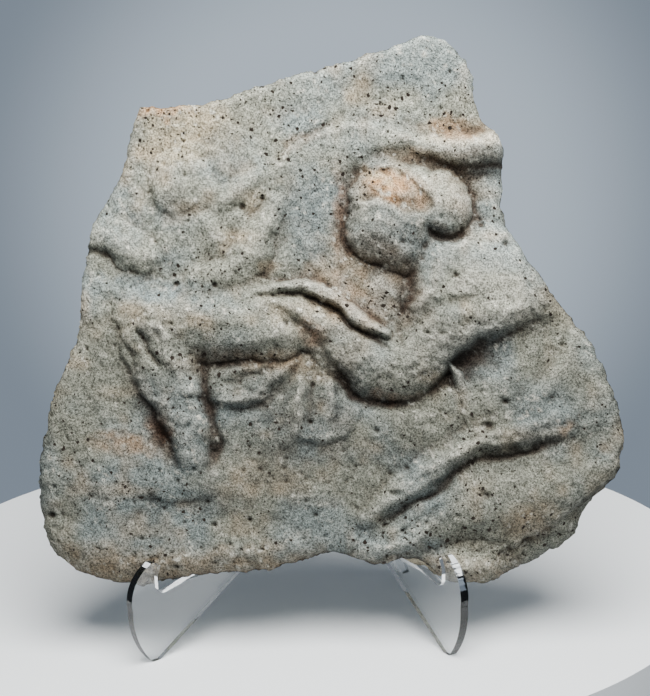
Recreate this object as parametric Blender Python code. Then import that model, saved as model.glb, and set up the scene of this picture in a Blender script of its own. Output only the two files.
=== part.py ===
"""A carved stone relief that stands on two crossed plates of clear acrylic.

The slab is a broken piece of porous stone with two draped figures in high relief. Its carving is laid out
on a drawing grid that the slab's outline fills, so that it follows the slab's width and height. A level is
a carving height above the ground of the relief, and the highest carving is at the top level.
"""

import math

import bmesh
import bpy
import numpy as np
from mathutils import Matrix, Vector

# Stone slab
SLAB_WIDTH = 0.320
SLAB_HEIGHT = 0.302
SLAB_THICKNESS = 0.032
RELIEF_DEPTH = 0.020
EDGE_ROUND_TOP = 0.004
EDGE_ROUND_BOTTOM = 0.009
BACK_INSET = 0.005
BACK_INSET_BOTTOM = 0.011
CORNER_EASE = 0.014
HEEL_DROP = 0.0097
SLAB_LEAN = math.radians(15.0)
SLAB_SHIFT = 0.0155

# Clear stand
PLATE_THICKNESS = 0.005
LEFT_TURN = math.radians(49.0)
RIGHT_TURN = math.radians(32.0)
FOOT_SPREAD = 0.159
FOOT_LENGTH = 0.005
FRONT_REACH = 0.0165
FRONT_REACH_HEIGHT = 0.032
HOOK_HEIGHT = 0.0565
HOOK_TIP_HEIGHT = 0.0535
TROUGH_HEIGHT = 0.0378
SEAT_HEIGHT = 0.0410
SEAT_RAMP = 0.017
TIP_RUN = -0.0030
WALL_RUN = -0.0006
HOOK_BELLY_RISE = 0.0015
TROUGH_RUN = -0.0050
TROUGH_ROUND = 0.0030
UNDERSIDE_RISE = 0.62
ARCH_RUN = 0.7673 * FOOT_SPREAD
ARCH_HEIGHT = 0.0705
BRIDGE_DEPTH = 0.033
BACK_FOOT_RUN = 1.195 * FOOT_SPREAD
LEG_WIDTH = 0.012
UPRIGHT_HEIGHT = 0.150
UPRIGHT_WIDTH = 0.016
SEAT_GAP = 0.0003
LAP_GAP = 0.0003

# Drawing grid: the slab's outline fills these columns and rows
FIRST_COLUMN = 39.0
LAST_COLUMN = 622.5
FIRST_ROW = 36.0
LAST_ROW = 586.0
TOP_LEVEL = 20.0
HEEL_COLUMN = 424.0
HEEL_SPREAD = 26.0

# How finely the slab is cut
COLUMNS = 150
ROWS = 140
SIDE_BANDS = 5
SLAB_TRIANGLES = 8400

# How many times the slab is set down a little better on its stand
SEATING_STEPS = 20

# The slab's outline, side by side, in grid steps
TOP_EDGE = [(140, 107), (188, 106), (228, 98), (277, 81), (330, 67), (389, 48), (423, 36), (445, 40)]
RIGHT_EDGE = [(445, 40), (464, 60), (473, 80), (480, 115), (496, 135), (502, 160), (504, 218), (522, 255),
              (553, 299), (588, 342), (612, 394), (622, 432), (616, 472), (599, 492), (583, 514), (577, 535)]
BOTTOM_EDGE = [(49, 546), (69, 566), (95, 579), (128, 585), (160, 583), (203, 575), (266, 570), (312, 558),
               (345, 555), (382, 566), (404, 558), (424, 563), (447, 579), (486, 583), (514, 572),
               (555, 550), (577, 535)]
LEFT_EDGE = [(140, 107), (131, 140), (121, 176), (97, 220), (82, 282), (81, 325), (63, 374), (49, 414),
             (39, 472), (42, 520), (49, 546)]
def smooth_line(stations, per_span=5):
    s = np.asarray(stations, float)
    ends = np.vstack([2 * s[0] - s[1], s, 2 * s[-1] - s[-2]])
    rows = []
    for i in range(1, len(ends) - 2):
        a, b, c, d = ends[i - 1:i + 3]
        for t in np.arange(per_span) / per_span:
            rows.append(0.5 * (2 * b + (c - a) * t + (2 * a - 5 * b + 4 * c - d) * t * t
                               + (3 * b - a - 3 * c + d) * t ** 3))
    rows.append(s[-1])
    return np.array(rows)


def nearest(x, y, line):
    """Distance, side (+1 right of travel), share along and the line's further values."""
    best = np.full(x.shape, 1e9)
    side = np.zeros(x.shape)
    share = np.zeros(x.shape)
    extra = np.zeros((line.shape[1] - 2,) + x.shape)
    steps = np.hypot(*(line[1:, :2] - line[:-1, :2]).T)
    total = steps.sum()
    run = 0.0
    for a, b, length in zip(line[:-1], line[1:], steps):
        if length < 1e-6:
            continue
        dx, dy = b[:2] - a[:2]
        t = np.clip(((x - a[0]) * dx + (y - a[1]) * dy) / length ** 2, 0, 1)
        ox = x - a[0] - t * dx
        oy = y - a[1] - t * dy
        d = np.hypot(ox, oy)
        near = d < best
        best[near] = d[near]
        side[near] = np.sign(dx * oy - dy * ox)[near]
        share[near] = ((run + t * length) / total)[near]
        for k in range(extra.shape[0]):
            extra[k][near] = (a[2 + k] + t * (b[2 + k] - a[2 + k]))[near]
        run += length
    return best, side, share, extra


def ease(t):
    t = np.clip(t, 0, 1)
    return t * t * (3 - 2 * t)


def smooth_max(a, b, k):
    gap = np.clip(k - np.abs(a - b), 0, None) / k
    return np.maximum(a, b) + gap * gap * k / 4


def lattice(ix, iy, seed):
    v = np.sin(ix * 127.1 + iy * 311.7 + seed * 74.7) * 43758.5453
    return v - np.floor(v)


def grain(x, y, cell, seed):
    """Smooth noise from -1 to 1 whose lumps are about one cell wide."""
    gx, gy = x / cell, y / cell
    ix, iy = np.floor(gx), np.floor(gy)
    fx, fy = ease(gx - ix), ease(gy - iy)
    low = lattice(ix, iy, seed) * (1 - fx) + lattice(ix + 1, iy, seed) * fx
    high = lattice(ix, iy + 1, seed) * (1 - fx) + lattice(ix + 1, iy + 1, seed) * fx
    return 2 * (low * (1 - fy) + high * fy) - 1


def ends_fade(share, first, last):
    """0 at a path's ends and 1 between them."""
    start = ease(share / first) if first > 0 else 1.0
    stop = ease((1 - share) / last) if last > 0 else 1.0
    return start * stop


class Relief:
    """Heights over the slab's front, in levels, at places in drawing steps."""

    def __init__(self, x, y):
        self.x, self.y = x, y
        self.h = np.zeros(x.shape)

    def near(self, line, reach):
        low = line[:, :2].min(axis=0) - reach
        high = line[:, :2].max(axis=0) + reach
        return np.nonzero((self.x > low[0]) & (self.x < high[0]) & (self.y > low[1]) & (self.y < high[1]))[0]

    def limb(self, stations, blend=4.0, left=(1.0, 0.8), right=(1.0, 0.8)):
        """A worn rounded body along a path of (x, y, half width, height).

        Each side is (width factor, power): a low power is full and steep, a high one slopes off softly.
        """
        line = smooth_line(stations)
        at = self.near(line, line[:, 2].max() * max(left[0], right[0]) + 1)
        d, side, _, (half, top) = nearest(self.x[at], self.y[at], line)
        below = side > 0
        half = half * np.where(below, right[0], left[0])
        power = np.where(below, right[1], left[1])
        body = top * np.clip(1 - (d / half) ** 2, 0, None) ** power
        inside = d < half
        self.h[at[inside]] = smooth_max(self.h[at], body, blend)[inside]

    def mound(self, x, y, wide, high, top, turn=0.0, power=0.8, low_power=None, blend=4.0):
        """A worn lump with half axes wide and high, turned clockwise in degrees."""
        u, v = self.turned(x, y, turn)
        r = np.hypot(u / wide, v / high)
        at = np.nonzero(r < 1)[0]
        down = ease(0.5 + v[at] / high)
        steep = power + ((power if low_power is None else low_power) - power) * down
        body = top * (1 - r[at] ** 2) ** steep
        self.h[at] = smooth_max(self.h[at], body, blend)

    def turned(self, x, y, turn):
        c, s = np.cos(np.radians(turn)), np.sin(np.radians(turn))
        dx, dy = self.x - x, self.y - y
        return dx * c + dy * s, -dx * s + dy * c

    def swell(self, x, y, wide, high, amount, turn=0.0):
        """A soft rise or, with a negative amount, a soft hollow added to what is there."""
        u, v = self.turned(x, y, turn)
        self.h += amount * np.exp(-(u / wide) ** 2 - (v / high) ** 2)

    def fold(self, stations, amount, left=5.0, right=5.0, ends=(0.18, 0.18)):
        """A ridge, or with a negative amount a groove, that runs out at its ends."""
        line = smooth_line(stations)
        at = self.near(line, 2.5 * max(left, right))
        d, side, share, _ = nearest(self.x[at], self.y[at], line)
        width = np.where(side > 0, right, left)
        self.h[at] += amount * np.exp(-(d / width) ** 2) * ends_fade(share, *ends)

    def step(self, stations, amount, edge=3.0, reach=30.0, ends=(0.2, 0.2)):
        """Raises what lies right of the path, crisp at the path and fading over the reach."""
        line = smooth_line(stations)
        at = self.near(line, 2.2 * reach)
        d, side, share, _ = nearest(self.x[at], self.y[at], line)
        s = d * side
        rise = ease(0.5 + s / (2 * edge)) * np.exp(-(np.clip(s, 0, None) / reach) ** 2)
        self.h[at] += amount * rise * ends_fade(share, *ends)


TIGHT = (1.0, 0.6)
FULL = (1.0, 0.85)
SOFT = (1.1, 1.4)
WIDE = (1.4, 1.9)


def mantle(r):
    r.swell(312, 192, 52, 50, 4.5)
    r.swell(372, 150, 60, 22, 2.0)
    r.step([(246, 196), (262, 175), (280, 158), (298, 140), (325, 129), (360, 125), (395, 133), (425, 143),
            (452, 144), (480, 142), (505, 140)], 3.2, 5, 30, (0.3, 0))
    r.fold([(272, 170), (283, 156), (298, 139), (318, 129), (342, 122)], -1.5, 5, 2.5, (0.3, 0.3))
    r.fold([(302, 150), (318, 141), (342, 137), (372, 138)], -0.8, 4, 6)
    r.swell(452, 130, 34, 8, -1.2, 4)
    r.fold([(348, 172), (362, 160), (385, 156), (420, 160), (447, 172), (464, 190), (474, 212),
            (482, 240)], -3.0, 9, 7, (0.2, 0.25))
    r.limb([(418, 151, 6, 4), (440, 150, 12, 7), (465, 151, 18, 10.5), (490, 149, 20, 11.5), (516, 147, 20, 11)],
           3, SOFT, TIGHT)
    r.fold([(436, 170), (458, 176), (482, 178), (510, 176)], -1.4, 3, 10, (0.2, 0))
    r.swell(490, 145, 11, 6, 1.0, 10)
    r.fold([(420, 148), (440, 141), (466, 139), (496, 138)], 0.8, 4, 4, (0.2, 0))


def right_head(r):
    r.fold([(368, 163), (354, 180), (346, 205), (345, 232), (350, 252), (360, 270)], -3.8, 10, 8, (0.15, 0.2))
    r.mound(410, 207, 61, 43, 15.0, 8, 0.6, 0.6, 3)
    r.mound(384, 230, 35, 36, 15.0, 24, 0.7, 0.7, 7)
    r.mound(444, 204, 28, 36, 15.8, -14, 0.8, 0.5, 10)
    r.mound(400, 248, 27, 27, 12.5, 30, 0.9, 0.8, 6)
    r.fold([(414, 224), (426, 232), (438, 238), (452, 240), (466, 232)], -5.0, 4, 5, (0.3, 0.1))
    r.swell(446, 236, 16, 6, -2.5, 6)
    r.swell(372, 252, 26, 12, -2.2, 40)
    r.fold([(366, 212), (380, 214), (394, 219)], -1.0, 3, 5)
    r.fold([(364, 236), (378, 240), (390, 246)], -1.2, 3, 5)
    chip = [(361, 203), (361, 186), (370, 174), (392, 171), (408, 178), (420, 190), (430, 203),
            (427, 214), (404, 219), (390, 208), (376, 203), (361, 203)]
    cut_chip(r, chip, 3.0, 1.8)


def cut_chip(r, outline, depth, edge):
    line = smooth_line(outline, 3)
    at = r.near(line, 4)
    x, y = r.x[at], r.y[at]
    d, side, _, _ = nearest(x, y, line)
    inside = ease(0.5 + d * side / (2 * edge))
    rough = 1 + 0.3 * grain(x, y, 10, 5) + 0.22 * grain(x, y, 5, 6)
    r.h[at] -= depth * rough * inside


def chest(r):
    r.swell(358, 284, 42, 34, -2.6, 20)
    r.swell(381, 288, 13, 10, 1.8)
    r.fold([(301, 228), (309, 255), (318, 272), (333, 290), (348, 306)], 1.5, 9, 3)
    r.fold([(330, 262), (346, 284), (366, 304)], -1.0, 5, 5)


def back_and_arm(r):
    r.mound(492, 290, 92, 66, 11.8, 18, 0.8, 0.8, 6)
    r.limb([(442, 244, 27, 10.5), (440, 270, 26, 11), (436, 300, 30, 11)], 8, FULL, SOFT)
    r.limb([(556, 290, 34, 7), (524, 292, 38, 8.5), (490, 302, 38, 9.5), (454, 324, 38, 10),
            (422, 350, 34, 10.5), (394, 366, 31, 11)], 8, FULL, SOFT)
    r.step([(572, 314), (545, 319), (518, 325), (484, 338), (455, 361), (432, 386), (404, 402)],
           5.0, 3.5, 50, (0.3, 0.2))
    r.limb([(254, 306, 6, 5), (276, 307, 10, 7), (298, 313, 15, 10), (320, 329, 20, 12),
            (350, 356, 28, 13), (382, 369, 32, 14), (404, 367, 32, 14)], 6, FULL, TIGHT)
    r.limb([(240, 297, 4, 5), (264, 293, 7, 7.5), (292, 288, 8, 9), (318, 294, 9, 10), (336, 306, 9, 10.8),
            (352, 319, 10, 11.6), (370, 329, 9, 11.8), (386, 337, 6, 11)], 4, FULL, FULL)
    r.fold([(248, 299), (268, 298), (288, 297), (304, 296)], -1.8, 2, 3)
    r.fold([(294, 290), (314, 301), (331, 314), (349, 328), (368, 341), (388, 350), (404, 362)],
           -2.0, 2.5, 4.5, (0.2, 0.2))
    r.fold([(306, 289), (325, 297), (342, 311), (360, 323)], -1.2, 2, 2.5)
    r.fold([(404, 352), (398, 338), (396, 322)], -1.6, 3, 4)
    r.fold([(434, 243), (440, 262), (434, 284), (420, 308), (404, 326)], 1.8, 5, 4)
    r.fold([(400, 268), (410, 282), (411, 302), (398, 324)], -4.6, 8, 6, (0.25, 0.3))
    r.fold([(404, 346), (428, 328), (462, 318), (496, 313), (540, 306)], 1.6, 9, 6)
    r.fold([(418, 318), (440, 306), (462, 302), (486, 304)], -1.2, 5, 5)
    r.fold([(440, 250), (472, 247), (506, 257), (532, 276), (548, 298)], 1.4, 6, 12)
    r.fold([(452, 262), (470, 276), (486, 296)], 0.9, 6, 6)
    r.swell(458, 288, 18, 10, 0.9)


def under_arm(r):
    r.swell(474, 366, 30, 17, -4.0, -14)
    r.fold([(424, 398), (444, 379), (462, 362), (484, 347), (512, 334), (545, 326)], -2.6, 3, 9, (0.12, 0.3))
    r.limb([(444, 362, 4, 7), (453, 372, 4, 6.5), (462, 388, 7, 4.5)], 3, FULL, FULL)


def right_body(r):
    r.mound(556, 390, 96, 98, 9.5, -20, 1.0, 1.0, 6)
    r.fold([(556, 345), (540, 370), (522, 392), (498, 416)], -1.5, 10, 9)
    r.fold([(572, 350), (560, 374), (538, 400)], 1.2, 6, 7)
    r.fold([(540, 340), (520, 358), (500, 380)], 1.0, 7, 7)
    r.swell(420, 418, 66, 32, 4.6, -14)
    r.swell(520, 408, 40, 26, 1.6, -20)


def right_legs(r):
    r.limb([(604, 402, 26, 6), (566, 416, 28, 9), (528, 430, 24, 9.8), (490, 441, 20, 10),
            (452, 459, 18, 9.2), (418, 483, 17, 8.4), (392, 502, 13, 7), (366, 519, 6, 3.5)], 6, WIDE, (1.2, 1.1))
    r.limb([(632, 452, 34, 6), (580, 478, 42, 9), (532, 494, 46, 9.5), (480, 502, 40, 8.5),
            (440, 518, 27, 7.5), (405, 534, 17, 6.5), (380, 547, 11, 5), (360, 557, 7, 3.5)],
           4, (1.0, 1.0), (1.15, 1.2))
    r.fold([(578, 432), (556, 443), (532, 451), (504, 457), (474, 464), (446, 484), (428, 497),
            (405, 511), (385, 519), (364, 526)], -3.0, 3, 8, (0.2, 0.15))
    r.fold([(448, 452), (466, 442), (486, 438)], -1.4, 2, 3)
    r.fold([(462, 456), (490, 451), (515, 446), (540, 439)], -1.4, 2.5, 3.5)
    r.fold([(436, 466), (456, 455), (480, 447)], 1.3, 2.5, 2.5)
    r.fold([(404, 488), (420, 478), (440, 470)], -1.2, 2.5, 3)
    r.fold([(500, 434), (530, 426), (560, 414)], 1.0, 4, 4)
    r.fold([(448, 505), (425, 519), (408, 529), (392, 538), (374, 547)], -2.4, 3, 5)
    r.fold([(452, 514), (430, 526), (412, 538), (396, 550)], 1.6, 3.5, 3.5)
    r.fold([(408, 540), (392, 547), (374, 555)], 1.6, 4, 5)
    r.step([(480, 554), (505, 548), (522, 543), (540, 534), (560, 518), (580, 502), (606, 484)], -4.5, 3, 70,
           (0.3, 0))
    r.swell(455, 570, 36, 17, 6.5)


def left_figure(r):
    r.swell(185, 232, 76, 62, 4.4)
    r.mound(190, 176, 42, 34, 5.8, 0, 1.4, 0.9, 8)
    r.mound(177, 191, 24, 26, 8.4, 8, 1.0, 0.5, 7)
    r.fold([(180, 146), (192, 155), (206, 158), (218, 152)], -1.2, 3, 4)
    r.fold([(210, 160), (216, 176), (226, 190)], -1.2, 6, 6)
    r.mound(241, 190, 30, 13, 6.4, -38, 1.0, 0.8, 6)
    r.mound(224, 205, 18, 10, 5.5, -30, 1.0, 0.8, 6)
    r.fold([(272, 204), (256, 213), (242, 222), (228, 244)], -1.8, 6, 6)
    r.limb([(276, 204, 11, 6.5), (266, 228, 17, 8.6), (250, 254, 21, 9.2), (230, 274, 19, 8.8), (200, 279, 13, 7)],
           5, (1.0, 0.7), FULL)
    r.fold([(290, 210), (284, 238), (270, 264), (252, 290), (226, 298), (202, 294)], -1.8, 6, 12)
    r.fold([(246, 214), (238, 238), (228, 262)], 1.4, 4, 6)
    r.fold([(188, 276), (205, 268), (224, 262)], 1.2, 4, 5)
    r.fold([(203, 212), (208, 230), (216, 248)], 1.8, 6, 5)
    r.limb([(84, 234, 13, 4), (105, 236, 15, 5.5), (128, 244, 16, 7), (152, 254, 13, 7.4)], 5, SOFT, (1.0, 0.6))
    r.mound(136, 254, 30, 19, 7.4, 22, 1.0, 0.5, 6)
    r.fold([(98, 222), (120, 224), (140, 234), (160, 247)], 1.2, 3, 5)
    r.fold([(80, 251), (100, 254), (118, 261), (134, 272)], -2.0, 3, 5, (0, 0.25))
    r.fold([(108, 292), (112, 312), (106, 334)], -0.9, 5, 6)


def thigh_and_shin(r):
    r.limb([(150, 322, 34, 9), (200, 321, 40, 12.5), (250, 322, 41, 13.5), (286, 325, 37, 12.5),
            (308, 328, 24, 10.5)], 8, SOFT, (0.95, 0.65))
    r.limb([(166, 322, 33, 12), (170, 362, 32, 12.5), (180, 403, 27, 11.5), (190, 436, 22, 10.5),
            (193, 462, 17, 8.5), (188, 484, 9, 4)], 6, TIGHT, (1.0, 0.75))
    r.step([(184, 476), (176, 450), (169, 430), (160, 414), (150, 400), (143, 389), (135, 372),
            (127, 357), (122, 340), (130, 326), (146, 320)], 3.0, 2.5, 15, (0.12, 0.15))
    r.fold([(136, 327), (145, 342), (154, 357), (166, 370)], -3.0, 5, 3)
    r.fold([(152, 318), (166, 340), (178, 366), (192, 396), (206, 424)], 1.6, 7, 5)
    r.fold([(180, 408), (195, 424), (212, 440)], 1.4, 4, 5)
    r.fold([(206, 340), (207, 365), (208, 395), (214, 418), (222, 446), (208, 476)], -3.0, 4, 7, (0.15, 0.2))
    r.swell(163, 438, 14, 20, -3.4, -15)
    r.swell(216, 452, 12, 12, -1.8, 15)
    r.fold([(180, 296), (214, 302), (246, 312), (272, 330)], -0.9, 9, 9)
    r.fold([(200, 340), (236, 344), (268, 338), (294, 326)], 1.0, 9, 7)


def seat_cloth(r):
    r.swell(276, 404, 82, 46, 6.5)
    r.fold([(204, 361), (240, 366), (275, 362), (312, 350)], -2.0, 5, 6)
    r.fold([(208, 374), (222, 371), (246, 370), (276, 361), (308, 342)], 2.4, 4.5, 4.5)
    r.fold([(216, 384), (238, 381), (262, 373), (286, 358)], -1.6, 3, 3.5)
    r.fold([(210, 396), (226, 402), (242, 400), (264, 390), (286, 370), (306, 350)], 3.4, 7, 3.5)
    r.fold([(222, 408), (244, 409), (268, 398), (290, 378), (308, 358)], -2.2, 2.5, 7)
    r.swell(211, 408, 9, 16, -3.2)
    r.fold([(300, 372), (298, 396), (298, 420), (295, 446)], 2.4, 4.5, 4)
    r.fold([(308, 372), (310, 396), (308, 430)], -1.2, 3, 5)
    r.fold([(318, 340), (326, 366), (330, 396), (324, 434)], 2.0, 6, 5)
    r.fold([(338, 382), (346, 402), (344, 430)], 1.6, 6, 5)
    r.fold([(274, 398), (276, 420), (270, 444)], 1.0, 6, 5)
    r.step([(376, 392), (362, 412), (354, 428), (340, 438), (322, 439), (304, 444), (284, 449), (262, 452)],
           3.2, 3, 28, (0.3, 0.4))


def arm_crevice(r):
    r.fold([(256, 306), (285, 313), (303, 326), (320, 344), (335, 367), (346, 384), (358, 399),
            (380, 404), (405, 404), (430, 396)], -4.2, 4, 9, (0.2, 0.2))
    r.swell(308, 328, 8, 10, -1.5, 40)
    r.swell(350, 388, 10, 14, -1.5, -30)


def ground(r):
    r.swell(110, 480, 60, 40, 3.6)
    r.swell(205, 480, 60, 24, 4.4)
    r.swell(300, 500, 60, 30, 1.8)
    r.fold([(122, 499), (148, 500), (170, 503), (200, 502), (236, 495)], -1.8, 3, 20, (0.3, 0.3))
    r.swell(258, 521, 28, 13, -1.4)
    r.swell(95, 545, 60, 22, 2.6)
    r.swell(190, 560, 60, 14, 2.0)
    r.swell(148, 574, 34, 16, -2.0)
    r.swell(300, 545, 50, 12, 1.8)
    r.swell(88, 400, 45, 60, 2.2)
    r.swell(120, 320, 40, 30, 1.8)


def carve(x, y):
    """Levels of the carving at places in drawing steps."""
    wander = 2.4 * grain(x, y, 30, 31) + 1.2 * grain(x, y, 12, 32)
    drift = 2.4 * grain(x, y, 30, 33) + 1.2 * grain(x, y, 12, 34)
    r = Relief(x + wander, y + drift)
    ground(r)
    mantle(r)
    left_figure(r)
    seat_cloth(r)
    thigh_and_shin(r)
    right_body(r)
    right_legs(r)
    back_and_arm(r)
    under_arm(r)
    arm_crevice(r)
    chest(r)
    right_head(r)
    return r.h + 0.8 * grain(x, y, 44, 11) + 0.45 * grain(x, y, 19, 12)


def edge_side(stations, count, seed):
    """One side of the outline at even spacing, with its broken edge; its two ends stay."""
    curve = smooth_line(stations, 12)
    run = np.concatenate([[0], np.cumsum(np.hypot(*np.diff(curve, axis=0).T))])
    even = np.linspace(0, run[-1], count + 1)
    line = np.column_stack([np.interp(even, run, curve[:, 0]), np.interp(even, run, curve[:, 1])])
    along = np.gradient(line, axis=0)
    out = np.column_stack([along[:, 1], -along[:, 0]]) / np.hypot(*along.T)[:, None]
    fade = np.clip(np.minimum(even, even[::-1]) / 12, 0, 1)
    broken = 1.5 * grain(even, 0 * even, 13, seed) + 1.0 * grain(even, 0 * even, 6, seed + 1)
    return line + out * (broken * fade)[:, None]


def fill_outline(top, bottom, left, right):
    """Grid places inside four sides, row by row from the left side to the right one."""
    u = np.linspace(0, 1, len(top))[None, :, None]
    v = np.linspace(0, 1, len(left))[:, None, None]
    across = (1 - v) * top[None] + v * bottom[None]
    down = (1 - u) * left[:, None] + u * right[:, None]
    corners = ((1 - u) * (1 - v) * top[0] + u * (1 - v) * top[-1] + (1 - u) * v * bottom[0]
               + u * v * bottom[-1])
    return across + down - corners


def bottom_share(y):
    """0 over the upper part of the slab and 1 along its lower edge."""
    return ease((y - 400) / 130)


def front_depth(x, y, outline):
    """How far the front stands out from the back, in metres."""
    depth = SLAB_THICKNESS + carve(x, y) * RELIEF_DEPTH / TOP_LEVEL
    distance = nearest(x, y, outline)[0] * SLAB_WIDTH / (LAST_COLUMN - FIRST_COLUMN)
    radius = EDGE_ROUND_TOP + (EDGE_ROUND_BOTTOM - EDGE_ROUND_TOP) * bottom_share(y)
    inset = np.clip(1 - distance / (radius * 1.4), 0, 1)
    return depth - radius * (1 - np.sqrt(1 - inset ** 2))


def around(values, reach):
    """Mean of each rim value with its neighbours, so that the inset eases round a corner."""
    return sum(np.roll(values, shift, axis=0) for shift in range(-reach, reach + 1)) / (2 * reach + 1)


def slab_place(x, y):
    """Across from the slab's middle and up from its lowest point, in metres."""
    across = (x - (FIRST_COLUMN + LAST_COLUMN) / 2) / (LAST_COLUMN - FIRST_COLUMN) * SLAB_WIDTH
    up = (LAST_ROW - y) / (LAST_ROW - FIRST_ROW) * SLAB_HEIGHT
    return across, up


def slab_shell(columns, rows, bands):
    """Vertices and faces of the slab's front and sides; its back is open along its rim."""
    top, bottom = edge_side(TOP_EDGE, columns, 1), edge_side(BOTTOM_EDGE, columns, 3)
    left, right = edge_side(LEFT_EDGE, rows, 5), edge_side(RIGHT_EDGE, rows, 7)
    places = fill_outline(top, bottom, left, right).reshape(-1, 2)
    index = np.arange(len(places)).reshape(rows + 1, columns + 1)
    rim = np.concatenate([index[0, :-1], index[:-1, -1], index[-1, :0:-1], index[:0:-1, 0]])
    outline = places[np.append(rim, rim[0])]
    across, up = slab_place(*places.T)
    front = np.column_stack([across, -front_depth(*places.T, outline), up])
    faces = [(index[r, c], index[r + 1, c], index[r + 1, c + 1], index[r, c + 1])
             for r in range(rows) for c in range(columns)]

    edge = front[rim]
    ahead = np.roll(edge, -1, axis=0) - np.roll(edge, 1, axis=0)
    inward = np.column_stack([ahead[:, 2], -ahead[:, 0]])
    inward /= np.hypot(*inward.T)[:, None]
    inward = around(inward, round(CORNER_EASE * len(rim)))
    run = np.cumsum(np.hypot(*np.diff(outline, axis=0).T))
    low = bottom_share(places[rim, 1])
    back_inset = BACK_INSET + (BACK_INSET_BOTTOM - BACK_INSET) * low
    heel = HEEL_DROP * low * np.exp(-((places[rim, 0] - HEEL_COLUMN) / HEEL_SPREAD) ** 2)
    points = [front]
    previous = rim
    for band in range(1, bands + 1):
        share = band / bands
        rough = 0.3 * grain(run, 0 * run + 60 * share, 16, 21) + 0.2 * grain(run, 0 * run + 60 * share, 7, 22)
        inset = back_inset * share ** 1.3 + BACK_INSET * rough * min(1, 2 * share)
        inset -= heel * math.sin(math.pi * share ** 1.6)
        ring = edge.copy()
        ring[:, 1] *= 1 - share
        ring[:, 0] += inward[:, 0] * inset
        ring[:, 2] += inward[:, 1] * inset
        current = len(front) + (band - 1) * len(rim) + np.arange(len(rim))
        points.append(ring)
        faces += list(zip(previous, current, np.roll(current, -1), np.roll(previous, -1)))
        previous = current
    return np.vstack(points), faces


def thinned_slab():
    """The slab as a closed body with few triangles, most of them where its form bends most."""
    points, faces = slab_shell(COLUMNS, ROWS, SIDE_BANDS)
    mesh = bpy.data.meshes.new("slab_shell")
    mesh.from_pydata(points.tolist(), [], [[int(i) for i in face] for face in faces])
    shell = bpy.data.objects.new("slab_shell", mesh)
    bpy.context.scene.collection.objects.link(shell)
    thin = shell.modifiers.new("thin", "DECIMATE")
    thin.ratio = SLAB_TRIANGLES / (2 * len(faces))
    body = bmesh.new()
    body.from_mesh(shell.evaluated_get(bpy.context.evaluated_depsgraph_get()).to_mesh())
    bpy.data.objects.remove(shell, do_unlink=True)
    rim = [edge for edge in body.edges if edge.is_boundary]
    for vertex in {v for edge in rim for v in edge.verts}:
        vertex.co.y = 0.0
    bmesh.ops.contextual_create(body, geom=rim)
    bmesh.ops.recalc_face_normals(body, faces=body.faces)
    return body


def plate_matrix(side, turn):
    """A plate's place: its own +X runs forward to the front foot, +Y across it and +Z up."""
    forward = Vector((side * math.sin(turn), -math.cos(turn), 0))
    up = Vector((0, 0, 1))
    axes = Matrix((forward, up.cross(forward), up)).transposed().to_4x4()
    return Matrix.Translation((side * FOOT_SPREAD / 2, 0, 0)) @ axes


def strip_points(body, to_plate):
    """Run and height, in a plate's own plane, of the slab's corners and edges within the plate."""
    half = PLATE_THICKNESS / 2
    places = {v: to_plate @ v.co for v in body.verts}
    found = [(p.x, p.z) for p in places.values() if abs(p.y) <= half]
    for edge in body.edges:
        a, b = (places[v] for v in edge.verts)
        for wall in (-half, half):
            if (a.y - wall) * (b.y - wall) < 0:
                t = (wall - a.y) / (b.y - a.y)
                found.append((a.x + t * (b.x - a.x), a.z + t * (b.z - a.z)))
    return np.array(found)


def hook_wall():
    """Inner side of the hook, from its tip down to the trough: run and height."""
    belly = 0.55 * HOOK_TIP_HEIGHT + 0.45 * TROUGH_HEIGHT + HOOK_BELLY_RISE
    return [(TIP_RUN, HOOK_TIP_HEIGHT), (WALL_RUN, belly), (WALL_RUN - 0.0002, TROUGH_HEIGHT + TROUGH_ROUND),
            (WALL_RUN - 0.0022, TROUGH_HEIGHT + TROUGH_ROUND / 6), (TROUGH_RUN, TROUGH_HEIGHT)]


def seat_line():
    """Top of the seat from the trough back along its ramp: run and height."""
    return [(TROUGH_RUN, TROUGH_HEIGHT), (TROUGH_RUN - 0.0022, TROUGH_HEIGHT + TROUGH_ROUND / 6),
            (-SEAT_RAMP, SEAT_HEIGHT - 0.0008), (-SEAT_RAMP - 0.004, SEAT_HEIGHT)]


def seat_rooms(body, plates, place):
    """How far the slab has to rise and to move back at each plate, and each seat's place across."""
    wall = np.array(hook_wall())[::-1]
    seat = np.array([(-1.0, SEAT_HEIGHT)] + seat_line()[::-1] + [(1.0, TROUGH_HEIGHT)])
    lifts, pushes, middles = [], [], []
    for matrix, turn in plates:
        points = strip_points(body, matrix.inverted() @ place)
        lifts.append((np.interp(points[:, 0], seat[:, 0], seat[:, 1]) + SEAT_GAP - points[:, 1]).max())
        low = points[points[:, 1] + lifts[-1] < HOOK_HEIGHT]
        room = np.interp(low[:, 1] + lifts[-1], wall[:, 1], wall[:, 0]) - SEAT_GAP - low[:, 0]
        pushes.append(-room.min() * math.cos(turn))
        middles.append((matrix @ Vector((-SEAT_RAMP, 0, 0))).x)
    return lifts, pushes, middles


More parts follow.
